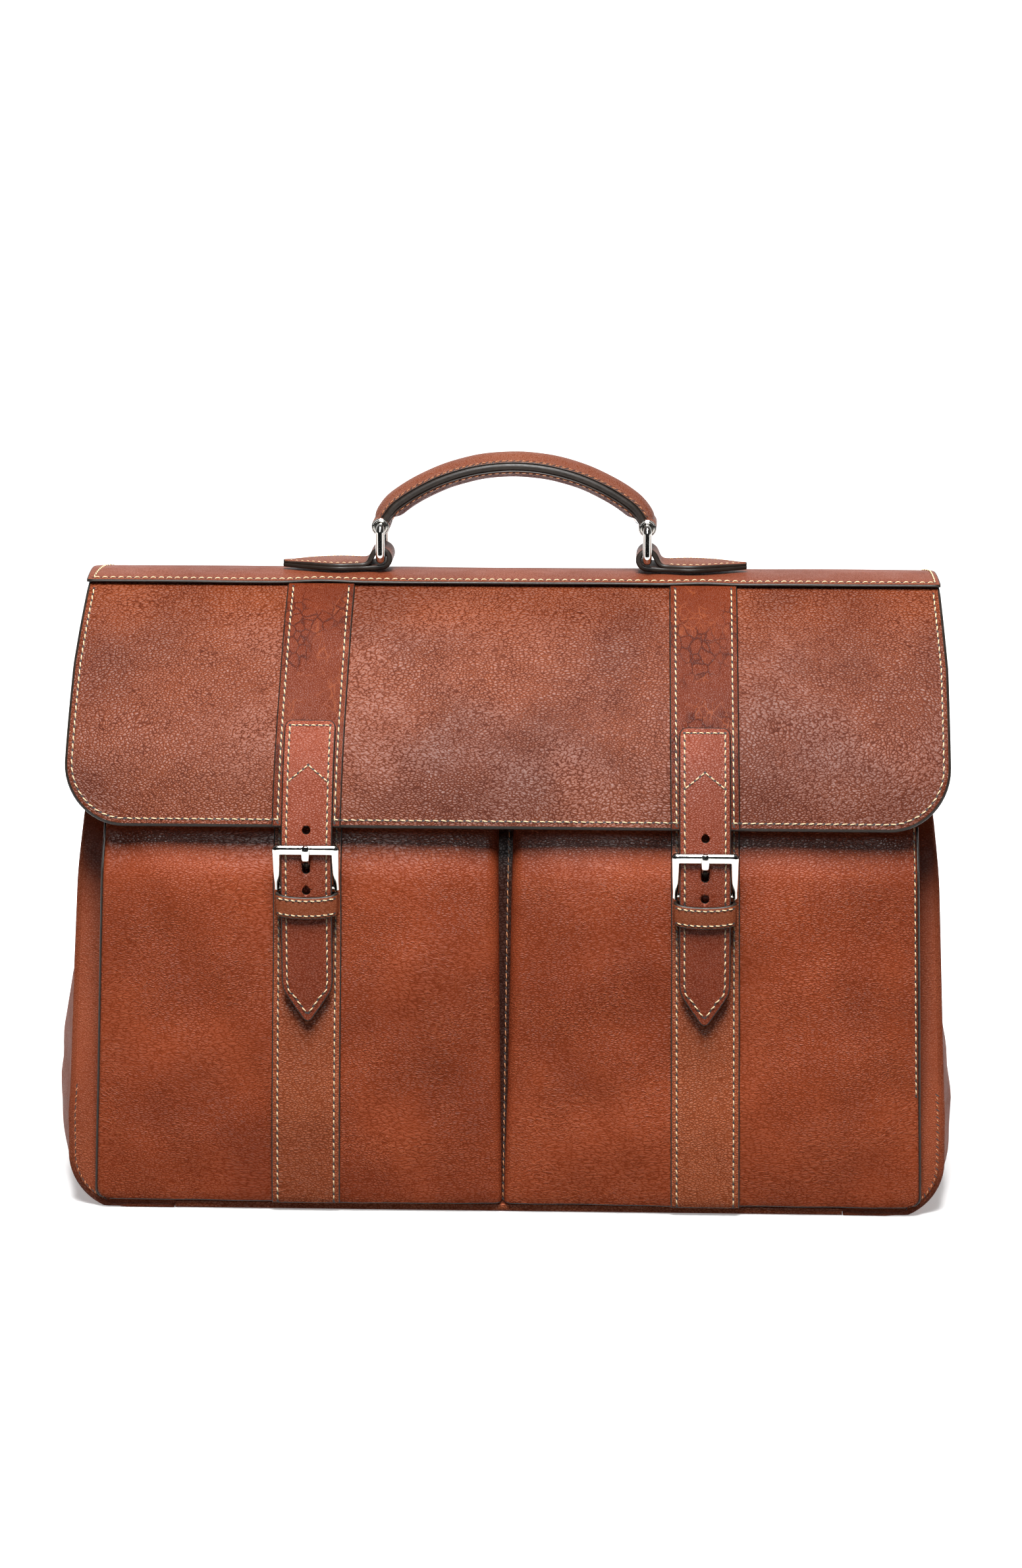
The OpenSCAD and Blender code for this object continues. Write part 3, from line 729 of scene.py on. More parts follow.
STRAP_HALF = 11.65
TIP_Z = [0, 0.3, 1.0, 3.0, 8.0, 13.5, 15.6, 18, 21]
TIP_HALF = [0.4, 1.1, 1.95, 3.3, 6.7, 10.2, 11.1, 11.45, 11.55]


def strap_heights(side):
    """The strap's upper end, its point, and how much its buckle sits above the middle of the two."""
    return (233.4, 95.1, 1.2) if side < 0 else (231.4, 94.7, -1.2)


def strap_centre(side, z):
    if side < 0:
        return -np.interp(z, [95, 170, 233], [92.1, 91.9, 91.2])
    return np.interp(z, [95, 170, 233], [91.5, 91.2, 90.5])


def strap_side_line(side):
    """The strap's face: beside the flap above its hinge, then hanging below it."""
    top, _, lift = strap_heights(side)
    upper = []
    for z in np.arange(top, 203, -4.0):
        out = 3.1 + 0.95 * ease((top - z) / 22)
        upper.append(flap_line.at(flap_line.s_at(z), np.array(out)))
    low = Line([
        (-55.8, 205), (-58.9, 195), (-60.6, 189.5), (-63.3, 175.5 + lift), (-64.2, 165.5 + lift),
        (-64.3, 157 + lift), (-63.9, 149 + lift), (-62.8, 130 + lift), (-61, 94.2),
    ]).shifted(2.2)
    keep = [tuple(q) for q in upper if q[1] > 206]
    return Line(keep + [tuple(q) for q in low.p[::6] if 97 < q[1] < 204] + [tuple(low.p[-1])])


def strap_half(side, z):
    """Half width with the pointed end and the rounded upper end."""
    top, tip, _ = strap_heights(side)
    w = np.minimum(STRAP_HALF, np.interp(z - tip, TIP_Z, TIP_HALF) + np.where(z - tip > 18, 0.1, 0))
    return w - rounded(3.0, z - (top - 3.0))


def cut(obj, cutters):
    """Punches cutters out of a mesh, for good."""
    for c in cutters:
        m = obj.modifiers.new("cut", "BOOLEAN")
        m.operation, m.object, m.solver = "DIFFERENCE", c, "EXACT"
        m.material_mode = "TRANSFER"
    dg = bpy.context.evaluated_depsgraph_get()
    data = bpy.data.meshes.new_from_object(obj.evaluated_get(dg))
    obj.modifiers.clear()
    obj.data = data
    for c in cutters:
        bpy.data.objects.remove(c)


def peg(x, z, r, tall=0.0):
    """A round or slotted punch that runs front to back through the strap."""
    ring = oval(20, r, r)
    ring[:, 1] -= np.where(ring[:, 1] < -1e-9, tall, 0)
    return tube("peg", [np.insert(ring + [x, z], 1, y, axis=1) for y in (-73, -55)], [edge_paint])


for name, side in SIDES.items():
    closure = "closure_" + name
    line = strap_side_line(side)
    top, tip, lift = strap_heights(side)

    def strap_surface(x, s, out=0.0, side=side, line=line):
        z = line.raw(s)[..., 1]
        return place(line, x + strap_centre(side, z), s, out)

    zs = np.concatenate([
        top - LIP - 3.0 * (1 - np.cos(np.linspace(0, math.pi / 2, 6))),
        spread(top - 5.5, tip + 22, 2.2),
        tip + np.array([19, 17, 15.6, 14.2, 12.5, 10, 7, 4.5, 3, 2, 1.4, 1.0, LIP + 0.05]),
    ])
    past = np.where(zs < tip + 19, -0.35, np.where(zs > top - 4.5, LIP, 0))
    half = np.maximum(strap_half(side, np.clip(zs + past, tip, top)) - LIP, 0.25)
    grid = strap_surface(np.linspace(-1, 1, 13) * half[:, None], line.s_at(zs)[:, None])
    thick = (1.4 + 0.8 * ease((top - zs) / 20))[:, None]
    mats = [strap_leather, edge_paint, shaded_back_leather]
    strap = slab("strap_piece_" + name, grid, thick, mats, lip=LIP, bulge=0.2)
    x0 = float(strap_centre(side, 170.0))
    cut(strap, [
        peg(x0, 184.6 + lift, 1.95),
        peg(x0, 156.7 + lift, 1.95),
        peg(x0, 171.6 + lift, 1.95, 5.0),
    ])
    add(strap, closure, ["strap_" + name, "strap_anchor_" + name], bends=True)

    # Seams: both edges to the point, the box above the hinge and the inverted V
    inset = 2.35
    z = np.concatenate([np.linspace(top - inset, tip + 19, 60), tip + np.array([16.5, 14.5, 12, 9, 6, 4.2])])
    w = strap_half(side, np.minimum(z, top - 4)) - inset
    w = np.where(z < tip + 14.5, np.maximum((z - tip - 3.6) * 0.68 + 0.15, 0), w)
    for edge in (-1, 1):
        seam_on(closure, strap_surface, edge * w, line.s_at(z), tilt=edge * -9)
    u = np.linspace(-STRAP_HALF + inset, STRAP_HALF - inset, 10)
    seam_on(closure, strap_surface, u, line.s_at(top - inset), pitch=3.2, tilt=-6)
    apex, ends = (214.5, 207.2) if side < 0 else (212.6, 205.4)
    t = np.linspace(0, 1, 8)
    for edge in (-1, 1):
        s = line.s_at(apex + (ends - apex) * t)
        seam_on(closure, strap_surface, edge * t * (STRAP_HALF - inset), s, pitch=3.3, tilt=0)

    # Keeper: a loop of leather whose front edges smile
    half_x = 14.6
    px, py = oval(72, half_x, 5.5, 0.42, 0.42 * 1.25).T
    rows = np.linspace(-1, 1, 9)[:, None]
    kz = 149.2 + lift + (0.2 if side < 0 else -0.4)
    smile = 1.55 * (np.abs(px) / half_x) ** 2 - 0.7
    belly = 0.35 * (1 - rows**2)
    loop = np.stack(np.broadcast_arrays(
        strap_centre(side, 149.0) + px,
        -62.95 + py * (1 + belly * 0.12),
        kz + rows * (5.05 - LIP) + smile * np.where(py < 0, 1, 0.4),
    ), -1)
    outward = loop - loop.mean((0, 1))
    n = grid_normals(loop, True)
    n = n * np.sign((n * outward).sum())
    mats = [keeper_leather, edge_paint, shaded_back_leather]
    keeper = slab("keeper_piece_" + name, loop, 1.7, mats, toward=outward, lip=LIP, bulge=0.2, wrap=True)
    add(keeper, closure, ["keeper_" + name])
    front = np.where((py < 0) & (np.abs(px) < 13.4))[0]
    front = front[np.argsort(px[front])]
    for row in (1, 7):
        seam("keeper_" + name, loop[row][front], n[row][front], pitch=3.1, tilt=-8)

    # Tab that holds the buckle's bar behind the strap
    bar_y, bar_z = -61.4, 157.4 + lift
    path = [(bar_y + 1.6, 108.0), (bar_y + 1.6, 125.0), (bar_y + 1.6, 142.0), (bar_y + 1.7, 152.5 + lift)]
    for t in np.linspace(2 * math.pi, 3.1 * math.pi, 14):
        path.append((bar_y - 2.6 * math.cos(t), bar_z + 2.6 * math.sin(t)))
    wrap_line = Line(path, curved=False)
    grid = place(wrap_line, np.linspace(-9.4, 9.4, 9) + x0, spread(0, wrap_line.length, 1.0)[:, None])
    mats = [shaded_back_leather, edge_paint, shaded_back_leather]
    tab = slab("buckle_tab_piece_" + name, grid, 1.2, mats, toward=(0, 1, 0), lip=0.5, bulge=0.1)
    add(tab, closure, ["buckle_tab_" + name])

    # Buckle frame: a flat polished U with bevelled edges. Its right half is listed as points
    # [x, height above the bar], outside and inside, from the lower tip to the middle of the top bar.
    side_line = smooth([
        (bar_y, bar_z - 2.2), (bar_y, bar_z),
        (-65.4, 164.9 + lift), (-67.6, 174.2 + lift), (-68.2, 179 + lift),
    ], 8)
    z_top, z_low = 21.1, -1.9
    corner, half_out, half_in = 2.4, 15.4, 11.9
    tip_r, arm, lean = 1.35, 2.7, 0.35
    bar_low = z_top - 4.6
    outer, inner = [], []
    for t in np.linspace(0, 1, 6):
        turn = math.pi / 2 * (1 - t)
        x, z = tip_r * (1 - math.cos(turn)), z_low + tip_r - tip_r * math.sin(turn)
        outer.append((half_out - lean - x, z))
        inner.append((half_out - lean - arm + x, z))
    for t in np.linspace(0.08, 1, 12):
        x = half_out - lean * (1 - t)
        z = z_low + tip_r + t * (z_top - corner - z_low - tip_r)
        outer.append((x, z))
        inner.append((x - arm - t, min(z, bar_low) if t < 0.93 else bar_low - 0.5 * (1 - t) / 0.07))
    for t in np.linspace(0, 1, 7)[1:]:
        turn = math.pi / 2 * t
        outer.append((half_out - corner + corner * math.cos(turn), z_top - corner + corner * math.sin(turn)))
        inner.append((half_in - 0.25 - 0.5 * t, bar_low))
    for t in np.linspace(0, 1, 9)[1:]:
        outer.append(((half_out - corner) * (1 - t), z_top))
        inner.append(((half_in - 0.75) * (1 - t), bar_low))
    outer, inner = [np.concatenate([q, np.array(q)[-2::-1] * [-1, 1]]) for q in (outer, inner)]

    def buckle_point(q, out):
        """A point [x, height above the bar] of the frame, a distance in front of its side line."""
        steps = np.arange(len(side_line))
        v = np.interp(q[:, 1] + bar_z, side_line[:, 1], steps)
        y = np.interp(v, steps, side_line[:, 0])
        tan = unit(values_at(v + 0.5, steps, side_line) - values_at(v - 0.5, steps, side_line))
        return np.stack([q[:, 0] + x0, y - tan[:, 1] * out, q[:, 1] + bar_z + tan[:, 0] * out], -1)

    bevel = [(0.0, -1.1), (0.0, 0.35), (0.05, 0.75), (0.14, 1.1), (0.5, 1.3)]
    bevel += [(0.86, 1.1), (0.95, 0.75), (1.0, 0.35), (1.0, -1.1)]
    rings = np.stack([buckle_point(outer + (inner - outer) * share, out) for share, out in bevel], 1)
    frame_piece = tube("buckle_piece_" + name, rings, [nickel])
    add(frame_piece, "buckle_" + name, ["buckle_frame_" + name])
    ring = oval(16, 1.2, 1.2) + [bar_y, bar_z]
    bar = [np.insert(ring, 0, x0 + x, axis=1) for x in (-13, 13)]
    add(tube("buckle_bar_" + name, bar, [nickel]), "buckle_" + name)

    # Prong: out of the hole, over the strap and onto the top bar
    shank = smooth([
        (bar_y - 0.3, bar_z + 1.6), (-61.8, bar_z + 6.9), (-66.6, bar_z + 12.6), (-69.4, bar_z + 14.6),
        (-70.2, bar_z + 17.6), (-70.1, bar_z + 21.0),
    ], 6)
    width = np.interp(np.linspace(0, 1, len(shank)), [0, 0.5, 0.75, 0.93, 1], [1.5, 1.6, 1.85, 1.85, 1.2])
    sections = oval(16, 1, 1, 0.5, 0.7) * np.column_stack([width, np.full(len(shank), 0.8)])[:, None]
    rings = sweep(np.insert(shank, 0, x0, axis=1), sections, (1, 0, 0))
    prong = tube("prong_piece_" + name, rings, [nickel])
    add(prong, "tongue_" + name, ["prong_" + name])

# Case --------------------------------------------------------------------------------------

# Front panel, with rounded lower corners
z_rows = rows_with_corner(271.3, PANEL_FOOT + LIP, PANEL_CORNER - LIP, 5)


def front_surface(x, s, out=0.0):
    return place(front_line, x, s, 0.3 * ripple(x, s, 150, 5) + out)


grid = front_surface(across(panel_edge, z_rows, LIP, 60), front_line.s_at(z_rows)[:, None])
wall = slab("front_wall", grid, 2.3, [side_leather, side_leather, lining], lip=LIP, bulge=0.15)
add(wall, "case", ["front_panel"])
edge_z = rows_with_corner(181, PANEL_FOOT + 1.9, PANEL_CORNER - 1.9, 2.5)
edge_z = edge_z[edge_z < 60]
for side in (-1, 1):
    x, s = panel_edge(side, edge_z, 1.0), front_line.s_at(edge_z)
    seam_on("corner", front_surface, x, s, pitch=3.6, length=2.0, tilt=side * 30, radius=0.2, lift=0.2)

# Pockets: soft walls whose edges roll back to the front panel
SNAP_Z, SNAP_PUFF = 126.0, 0.7  # the bands swell less where the snaps sit


def pocket_inner(side, z):
    left, right = [-2.5, -3.2, -4.3, -4.4], [-1.9, 0.0, 2.4, 2.5]
    return np.interp(z, [3, 60, 186, 194], left if side < 0 else right)


def pocket_outer(side, z):
    left, right = [-193.4, -191.0, -186.2], [192.7, 191.2, 188.0]
    x = np.interp(z, [3, 60, 194], left if side < 0 else right)
    return x - side * rounded(4.5, 5.2 + 4.5 - z)


def pocket_puff(side, x, z, x_in, x_out):
    """The wall's soft swell, the rounded shoulder below the flap and its slow unevenness."""
    t = np.clip((x - x_in) / (x_out - x_in), 0, 1)
    full = ease(np.minimum(t, 1 - t) / 0.10)
    up = ease((z - 5) / 40)
    uneven = 0.9 * ripple(x, z, 95, 8 + side) + 0.4 * ripple(x, z, 38, 2 - side)
    return full * (0.5 + 0.9 * up + uneven)


for name, side in SIDES.items():
    z_rows = np.concatenate([[193.3], spread(191, 14, 2.6), [11.5, 9.5, 8, 7, 6.2, 5.6, 5.2]])
    s_rows = pocket_line.s_at(z_rows)
    x_in, x_out = pocket_inner(side, z_rows), pocket_outer(side, z_rows)
    depth = np.maximum(front_line.y_at(z_rows) - pocket_line.y_at(z_rows) - 0.6, 2.0)
    columns = []
    r_in, r_out = 3.6 + 2.4 * ease((z_rows - 20) / 80), 1.6

    def wall_point(x, out, s_rows=s_rows):
        return place(pocket_line, x, s_rows, out)

    for d in np.linspace(1, 0, 6)[:-1]:
        columns.append(wall_point(x_in, -r_in - d * np.maximum(depth - r_in, 0)))
    for ang in np.linspace(0, math.pi / 2, 7):
        columns.append(wall_point(x_in + side * r_in * (1 - math.cos(ang)), -r_in * (1 - math.sin(ang))))
    left_in, right_out = x_in + side * r_in, x_out - side * r_out
    for t in np.linspace(0, 1, 62)[1:-1]:
        x = left_in + (right_out - left_in) * t
        columns.append(wall_point(x, pocket_puff(side, x, z_rows, left_in, right_out)))
    for ang in np.linspace(math.pi / 2, 0, 5):
        columns.append(wall_point(x_out - side * r_out * (1 - math.cos(ang)), -r_out * (1 - math.sin(ang))))
    for d in np.linspace(0, 1, 5)[1:]:
        columns.append(wall_point(x_out - side * 0.4 * d, -r_out - d * np.maximum(depth - r_out, 0)))
    grid = np.stack(columns, 1)
    if side < 0:
        grid = grid[:, ::-1]
    wall = slab("pocket_piece_" + name, grid, 2.0, [body_leather, edge_paint, lining], lip=0.5, bulge=0.15)
    add(wall, "case", ["pocket_" + name])
    # A dark line along the wall's outer edge: partly its edge paint, partly painted shade of the gap beside
    # it
    path = wall_point(x_out + side * 0.35, -1.5)[z_rows < 188]
    add(tube("pocket_edge_" + name, sweep(path, oval(8, 0.6, 0.6), (1, 0, 0)), [edge_paint]), "case")

    # The band below the flap and its two seams
    z_b = np.concatenate([[193.4], spread(190, 8, 4), [5.4]])

    def low_band(x, s, out=0.0, side=side):
        z = pocket_line.raw(s)[..., 1]
        c = band_centre(side, z)
        puff = pocket_puff(side, c, z, pocket_inner(side, z), pocket_outer(side, z))
        puff = puff + (np.minimum(puff, SNAP_PUFF) - puff) * ease(2 - np.abs(z - SNAP_Z) / 14)
        return place(pocket_line, x + c, s, puff + 1.5 + out)

    half = np.interp(z_b, [5, 190], [15.9, 15.6]) - LIP
    grid = low_band(np.linspace(-1, 1, 11) * half[:, None], pocket_line.s_at(z_b)[:, None])
    mats = [band_leather, edge_paint, lining]
    band = slab("lower_band_piece_" + name, grid, 1.5, mats, lip=LIP, bulge=0.2)
    add(band, "case", ["lower_band_" + name])
    s = np.linspace(pocket_line.s_at(193), pocket_line.s_at(6), 70)
    for edge in (-1, 1):
        seam_on("case", low_band, edge * 13.2, s, tilt=-edge * 4 + 8)
# The strip at the bottom of the pleat between the pockets
s_p = pocket_line.s_at(np.concatenate([[193], spread(190, 8, 4), [6]]))


def pleat_surface(x, s, out=0.0):
    z = pocket_line.raw(s)[..., 1]
    middle = np.interp(z, [3, 190], [-2.2, -0.9])
    return place(pocket_line, x + middle, s, -np.interp(z, [3, 60, 190], [2.2, 4.8, 6.0]) + out)


grid = pleat_surface(np.linspace(-3.4, 3.4, 7), s_p[:, None])
pleat = slab("pleat_piece", grid, 1.0, [pleat_shaded_leather, edge_paint, lining], lip=0.2, bulge=0.05)
add(pleat, "case", ["centre_strip"])
s = np.linspace(s_p[1], s_p[-1], 70)
x = np.interp(pocket_line.raw(s)[:, 1], [3, 190], [0.1, 1.5])
seam_on("corner", pleat_surface, x, s, pitch=3.9, tilt=6, radius=0.24, lift=0.2)

# The right pocket's outer seam
z = np.linspace(190, 60, 60)
points = place(pocket_line, pocket_outer(1, z) - 1.2, pocket_line.s_at(z))
seam("case", points, [0.25, -1.0, 0.0], pitch=3.7, tilt=4, radius=0.3)

# Gussets: swollen near the floor, folded in at the mouth


def gusset_out(z, side):
    if side < 0:
        heights = [0, 12, 30, 52, 75, 100, 128, 150, 200, 272]
        swell = [2.5, 6.2, 8.0, 9.4, 8.8, 5.4, 0.4, -2.0, -9.0, -14.5]
    else:
        heights = [0, 12, 30, 46, 70, 92, 112, 140, 200, 272]
        swell = [2.5, 3.6, 4.6, 4.8, 3.2, 0.8, -1.4, -3.5, -9.0, -14.5]
    return np.interp(z, heights, swell)


for name, side in SIDES.items():
    # Rows down the side, round the lower corner and in along the floor: half width, height, turn
    corner = 25.0
    rows = [(abs(panel_edge(side, max(z, 27.0))), z, 0.0) for z in spread(271.5, corner, 4.0)]
    turn_x = rows[-1][0] - corner
    for a in np.radians(np.linspace(0, 90, 16))[1:]:
        rows.append((turn_x + corner * math.cos(a), corner - corner * math.sin(a), a))
    rows += [(x, 0.0, math.pi / 2) for x in np.linspace(turn_x, 157.5, 6)[1:]]
    x, z, turn = np.array(rows).T[..., None]
    t = np.concatenate([
        [0, 0.012, 0.028, 0.05, 0.08, 0.12], np.linspace(0.17, 0.83, 18), [0.88, 0.92, 0.95, 0.972, 0.988, 1],
    ])
    y0, y1 = front_line.y_at(np.maximum(z, 3.0)) + 0.2, back_line.y_at(np.maximum(z, 3.0))
    y = y0 + (y1 - y0) * t
    from_seam = np.minimum(t, 1 - t) * (y1 - y0)
    roll = 3.0 * np.sqrt(np.clip(1 - (1 - np.minimum(from_seam / 3.2, 1)) ** 2, 0, 1))
    middle = ease(t / 0.40) * ease((1 - t) / 0.60)
    crush = 0.9 * ripple(y, z * 1.6, 34, 4 + side) + 0.5 * ripple(y * 0.6, z, 15, side)
    upright = np.cos(turn)
    out = (gusset_out(z, side) + crush * 0.4) * middle * np.clip(upright * 1.6, 0, 1)
    fade = np.where(z < 150, 1, ease((200 - z) / 50)) * (0.25 + 0.75 * np.clip(upright * 3, 0, 1))
    out = out + (roll - 0.4) * fade
    grid = np.stack([side * (x + out * upright), y, np.maximum(z - out * np.sin(turn), 0.05)], -1)
    mats = [side_leather, side_leather, lining]
    gusset = slab("gusset_piece_" + name, grid, 2.2, mats, toward=(side, 0, 0), lip=0.3, bulge=0.1)
    add(gusset, "case", ["gusset_" + name])
    # A row of stitches along the back seam
    back = (z[:, 0] > 4) & (z[:, 0] < 262)
    seam("case", grid[back, -4], -np.sin(turn[back]) * [0, 0, 1] + [side, 0, 0], pitch=3.9, tilt=8)

# Back panel and its seams
z_rows = rows_with_corner(283.4, PANEL_FOOT + LIP, PANEL_CORNER - LIP, 6)


def back_surface(x, s, out=0.0):
    return place(back_line, x, s, 0.3 * ripple(x, s, 160, 9) + out)


def back_edge(side, z, inset):
    return panel_edge(side, np.minimum(z, 272.0), inset)


grid = back_surface(across(back_edge, z_rows, LIP, 60), back_line.s_at(z_rows)[:, None])
mats = [body_leather, edge_paint, lining]
wall = slab("back_wall", grid, 2.3, mats, toward=(0, 1, 0), lip=LIP, bulge=0.15)
add(wall, "case", ["back_panel"])
edge_z = rows_with_corner(268, PANEL_FOOT + 3.0, PANEL_CORNER - 3.0, 2.5)
for side in (-1, 1):
    seam_on("case", back_surface, back_edge(side, edge_z, 3.2), back_line.s_at(edge_z), tilt=side * 9)

# Base: the floor leather laid over the gussets' ends, and the board inside
y = np.concatenate([[-50.2, -49.9, -49.2], np.linspace(-47, 68, 16), [70.2, 71.0, 71.3]])
z = np.where((y < -49.9) | (y > 70.9), 3.4, np.where((y < -49.5) | (y > 70.4), 1.2, 0.25))
grid = level(np.linspace(-156.5, 156.5, 40), y, z[:, None])
mats = [band_leather, band_leather, lining]
base = slab("base_piece", grid, 1.8, mats, toward=(0, 0, -1), lip=0.25, bulge=0.05)
add(base, "case", ["base_panel"])
grid = level(np.linspace(-164, 164, 12), np.linspace(-42.5, 63.5, 8), 4.7)
stiff = slab("base_board_piece", grid, 2.0, [lining, lining, board], toward=(0, 0, 1), lip=0.8, bulge=0.2)
add(stiff, "case", ["base_board"])

# Linings and the slip pocket inside
for piece, line, side, top in (("lining_back", back_line, 1, 270), ("lining_front", front_line, -1, 264)):
    z_rows = np.concatenate([spread(top, 40, 12), [32, 26, 20, 15, 11, 9]])
    grid = place(line, across(panel_edge, z_rows, 7, 30), line.s_at(z_rows)[:, None], -3.4)
    mats = [lining, lining, lining]
    cloth = slab(piece + "_piece", grid, 0.8, mats, toward=(0, -side, 0), lip=0.1, bulge=0.02)
    add(cloth, "case", [piece])


def slip_surface(x, s, out=0.0):
    return place(back_line, x, s, -5.0 - out)


grid = slip_surface(np.linspace(-119, 119, 24), back_line.s_at(spread(199, 61, 6))[:, None])
mats = [side_leather, edge_paint, lining]
slip = slab("slip_pocket", grid, 1.3, mats, toward=(0, -1, 0), lip=0.8, bulge=0.2)
add(slip, "case", ["inner_pocket"])
s = back_line.s_at(np.linspace(197, 63, 40))
for side in (-1, 1):
    seam_on("case", slip_surface, side * 116.5, s, tilt=8)
seam_on("case", slip_surface, np.linspace(-116.5, 116.5, 60), back_line.s_at(63.0), tilt=8)


# Spine ---------------------------------------------------------------------------------------
def spine_surface(x, s, out=0.0):
    near = ease((s - spine_line.length + 14) / 14)
    bump = sum(ease(1 - np.abs(x - c) / (BAND_HALF + 5)) * 0.7 for c in (-90.0, 89.4)) * near
    return place(spine_line, x, s, bump + 0.2 * ripple(x, s, 90, 6) + out)


def spine_end(side, s):
    left, right = [194, 202, 200.6], [192, 199, 200.2]
    return side * np.interp(s, [0, 30, spine_line.length], left if side < 0 else right)


s = np.concatenate([spread(LIP, spine_line.length - LIP - 2, 2.4), [spine_line.length - LIP]])
grid = spine_surface(between(spine_end(-1, s) + LIP, spine_end(1, s) - LIP, 120), s[:, None])
thick = 2.3 - 1.1 * ease((s - spine_line.length + 12) / 10)[:, None]
mats = [spine_shaded_leather, edge_paint, lining]
top = slab("spine", grid, thick, mats, toward=(0, 0, 1), lip=LIP, bulge=0.3)
add(top, "spine", ["spine_panel"], bends=True)
front_s, back_s = spine_line.length - 3.0, 2.9
seam_on("spine", spine_surface, np.linspace(-198.2, 197.6, 160), front_s, tilt=8)
seam_on("spine", spine_surface, np.linspace(-189, 189, 160), back_s, tilt=8)
s = np.linspace(back_s, front_s, 30)
for side in (-1, 1):
    seam_on("spine", spine_surface, side * (spine_end(1, s) - 2.4), s, tilt=8)
under = Line([(52, 290.4), (35, 291.8), (20, 291.2)])
grid = place(under, np.linspace(-188, 188, 20), np.linspace(0, under.length, 8)[:, None], -2.9)
stiff = slab("spine_board_piece", grid, 1.3, [board, board, lining], toward=(0, 0, 1), lip=0.8, bulge=0.1)
add(stiff, "spine", ["spine_board"])

# Handle tabs: a strip of leather that rolls round the link and lies back on itself -----------

LOOP_Z, LOOP_R, HANDLE_Y = 297.9, 5.6, 35.0
LEAF = smooth([[0, 10.6], [8, 10.6], [20, 12.8], [32, 9.6], [47, 1.8]])


def leaf_half(d):
    return np.interp(d, LEAF[:, 0], LEAF[:, 1])


HOLD_X = 63.0  # from the middle to the rings' tabs and the handle's ends
for name, side in SIDES.items():
    mid = LOOP_R - 1.2
    path = [(d, 294.85 - 0.45 * ease((d - 34) / 12)) for d in np.linspace(46.4, 9.5, 22)]
    path += [(7.4, 295.1), (5.7, 295.9)]
    path += [(-mid * math.cos(a), LOOP_Z + mid * math.sin(a)) for a in np.radians(np.linspace(172, -80, 28))]
    path += [(2.2, 293.4), (5, 293.25)] + [(d, 293.2) for d in np.linspace(8, 46.4, 20)]
    path = evened(path, 130, 3)
    t = unit(np.gradient(path, axis=0))
    n = np.stack([t[:, 1], -t[:, 0]], -1)
    thick = 1.75 + 0.65 * ease((8 - path[:, :1]) / 4)
    face = path + n * thick / 2
    half = leaf_half(np.maximum(path[:, :1], 0)) - 0.5
    v = np.linspace(-1, 1, 13)
    crown = 0.5 * (1 - v**2) * ease((path[:, :1] - 9) / 8) * (np.arange(130) < 60)[:, None]
    columns = side * (HOLD_X + face[:, :1]), HANDLE_Y + half * v, face[:, 1:] + crown
    grid = np.stack(np.broadcast_arrays(*columns), -1)
    outward = np.insert(n * [side, 1], 1, 0, axis=1)[:, None]
    mats = [handle_leather, edge_paint, handle_leather]
    tab = slab("handle_tab_piece_" + name, grid, thick, mats, toward=outward, lip=0.5, bulge=0.15)
    add(tab, "spine", ["handle_tab_" + name])
    d = np.linspace(10, 44.5, 30)
    z = np.interp(d, path[:25, 0][::-1], path[:25, 1][::-1]) + 1.0
    for edge in (-1, 1):
        p = np.stack([side * (HOLD_X + d), HANDLE_Y + edge * (leaf_half(d) - 2.3), z], -1)
        seam("spine", p, [0, 0, 1.0], pitch=3.1, length=2.3, tilt=edge * 8, radius=0.2, lift=0.15)

# Handle --------------------------------------------------------------------------------------

TUBE_Z, RISE, ARCH_R, ARCH_HALF = 313.2, 28.7, 92.0, 57.0
STEPS = 130
arch_turn = math.asin(ARCH_HALF / ARCH_R)
angles = np.linspace(-arch_turn, arch_turn, 70)
arc = np.stack([ARCH_R * np.sin(angles), TUBE_Z + RISE - ARCH_R + ARCH_R * np.cos(angles)], -1)
arc = np.concatenate([[[-HOLD_X, TUBE_Z]], arc, [[HOLD_X, TUBE_Z]]])
handle_len = run_of(arc)[-1]
arc = evened(arc, STEPS, 6)
handle_path = np.insert(arc, 1, HANDLE_Y, axis=1)
handle_out = unit(np.cross(unit(np.gradient(handle_path, axis=0)), [0, 1.0, 0]))
if handle_out[STEPS // 2, 2] < 0:
    handle_out = -handle_out


def handle_surface(v, i, out):
    """v front to back in mm, i an index along the handle, out above the middle line."""
    steps = np.arange(STEPS)
    q = values_at(i, steps, handle_path) + values_at(i, steps, handle_out) * np.asarray(out, float)[..., None]
    q[..., 1] += v
    return q


# The dark band is the edge of the handle's layers, rounded front and back
band_v, band_out = oval(40, 11.0, 2.35, 0.32, 0.62).T
rings = handle_surface(band_v, np.linspace(0, STEPS - 1, 110)[:, None], band_out)
add(tube("handle_edge", rings, [edge_paint]), "grip", ["handle_core"])

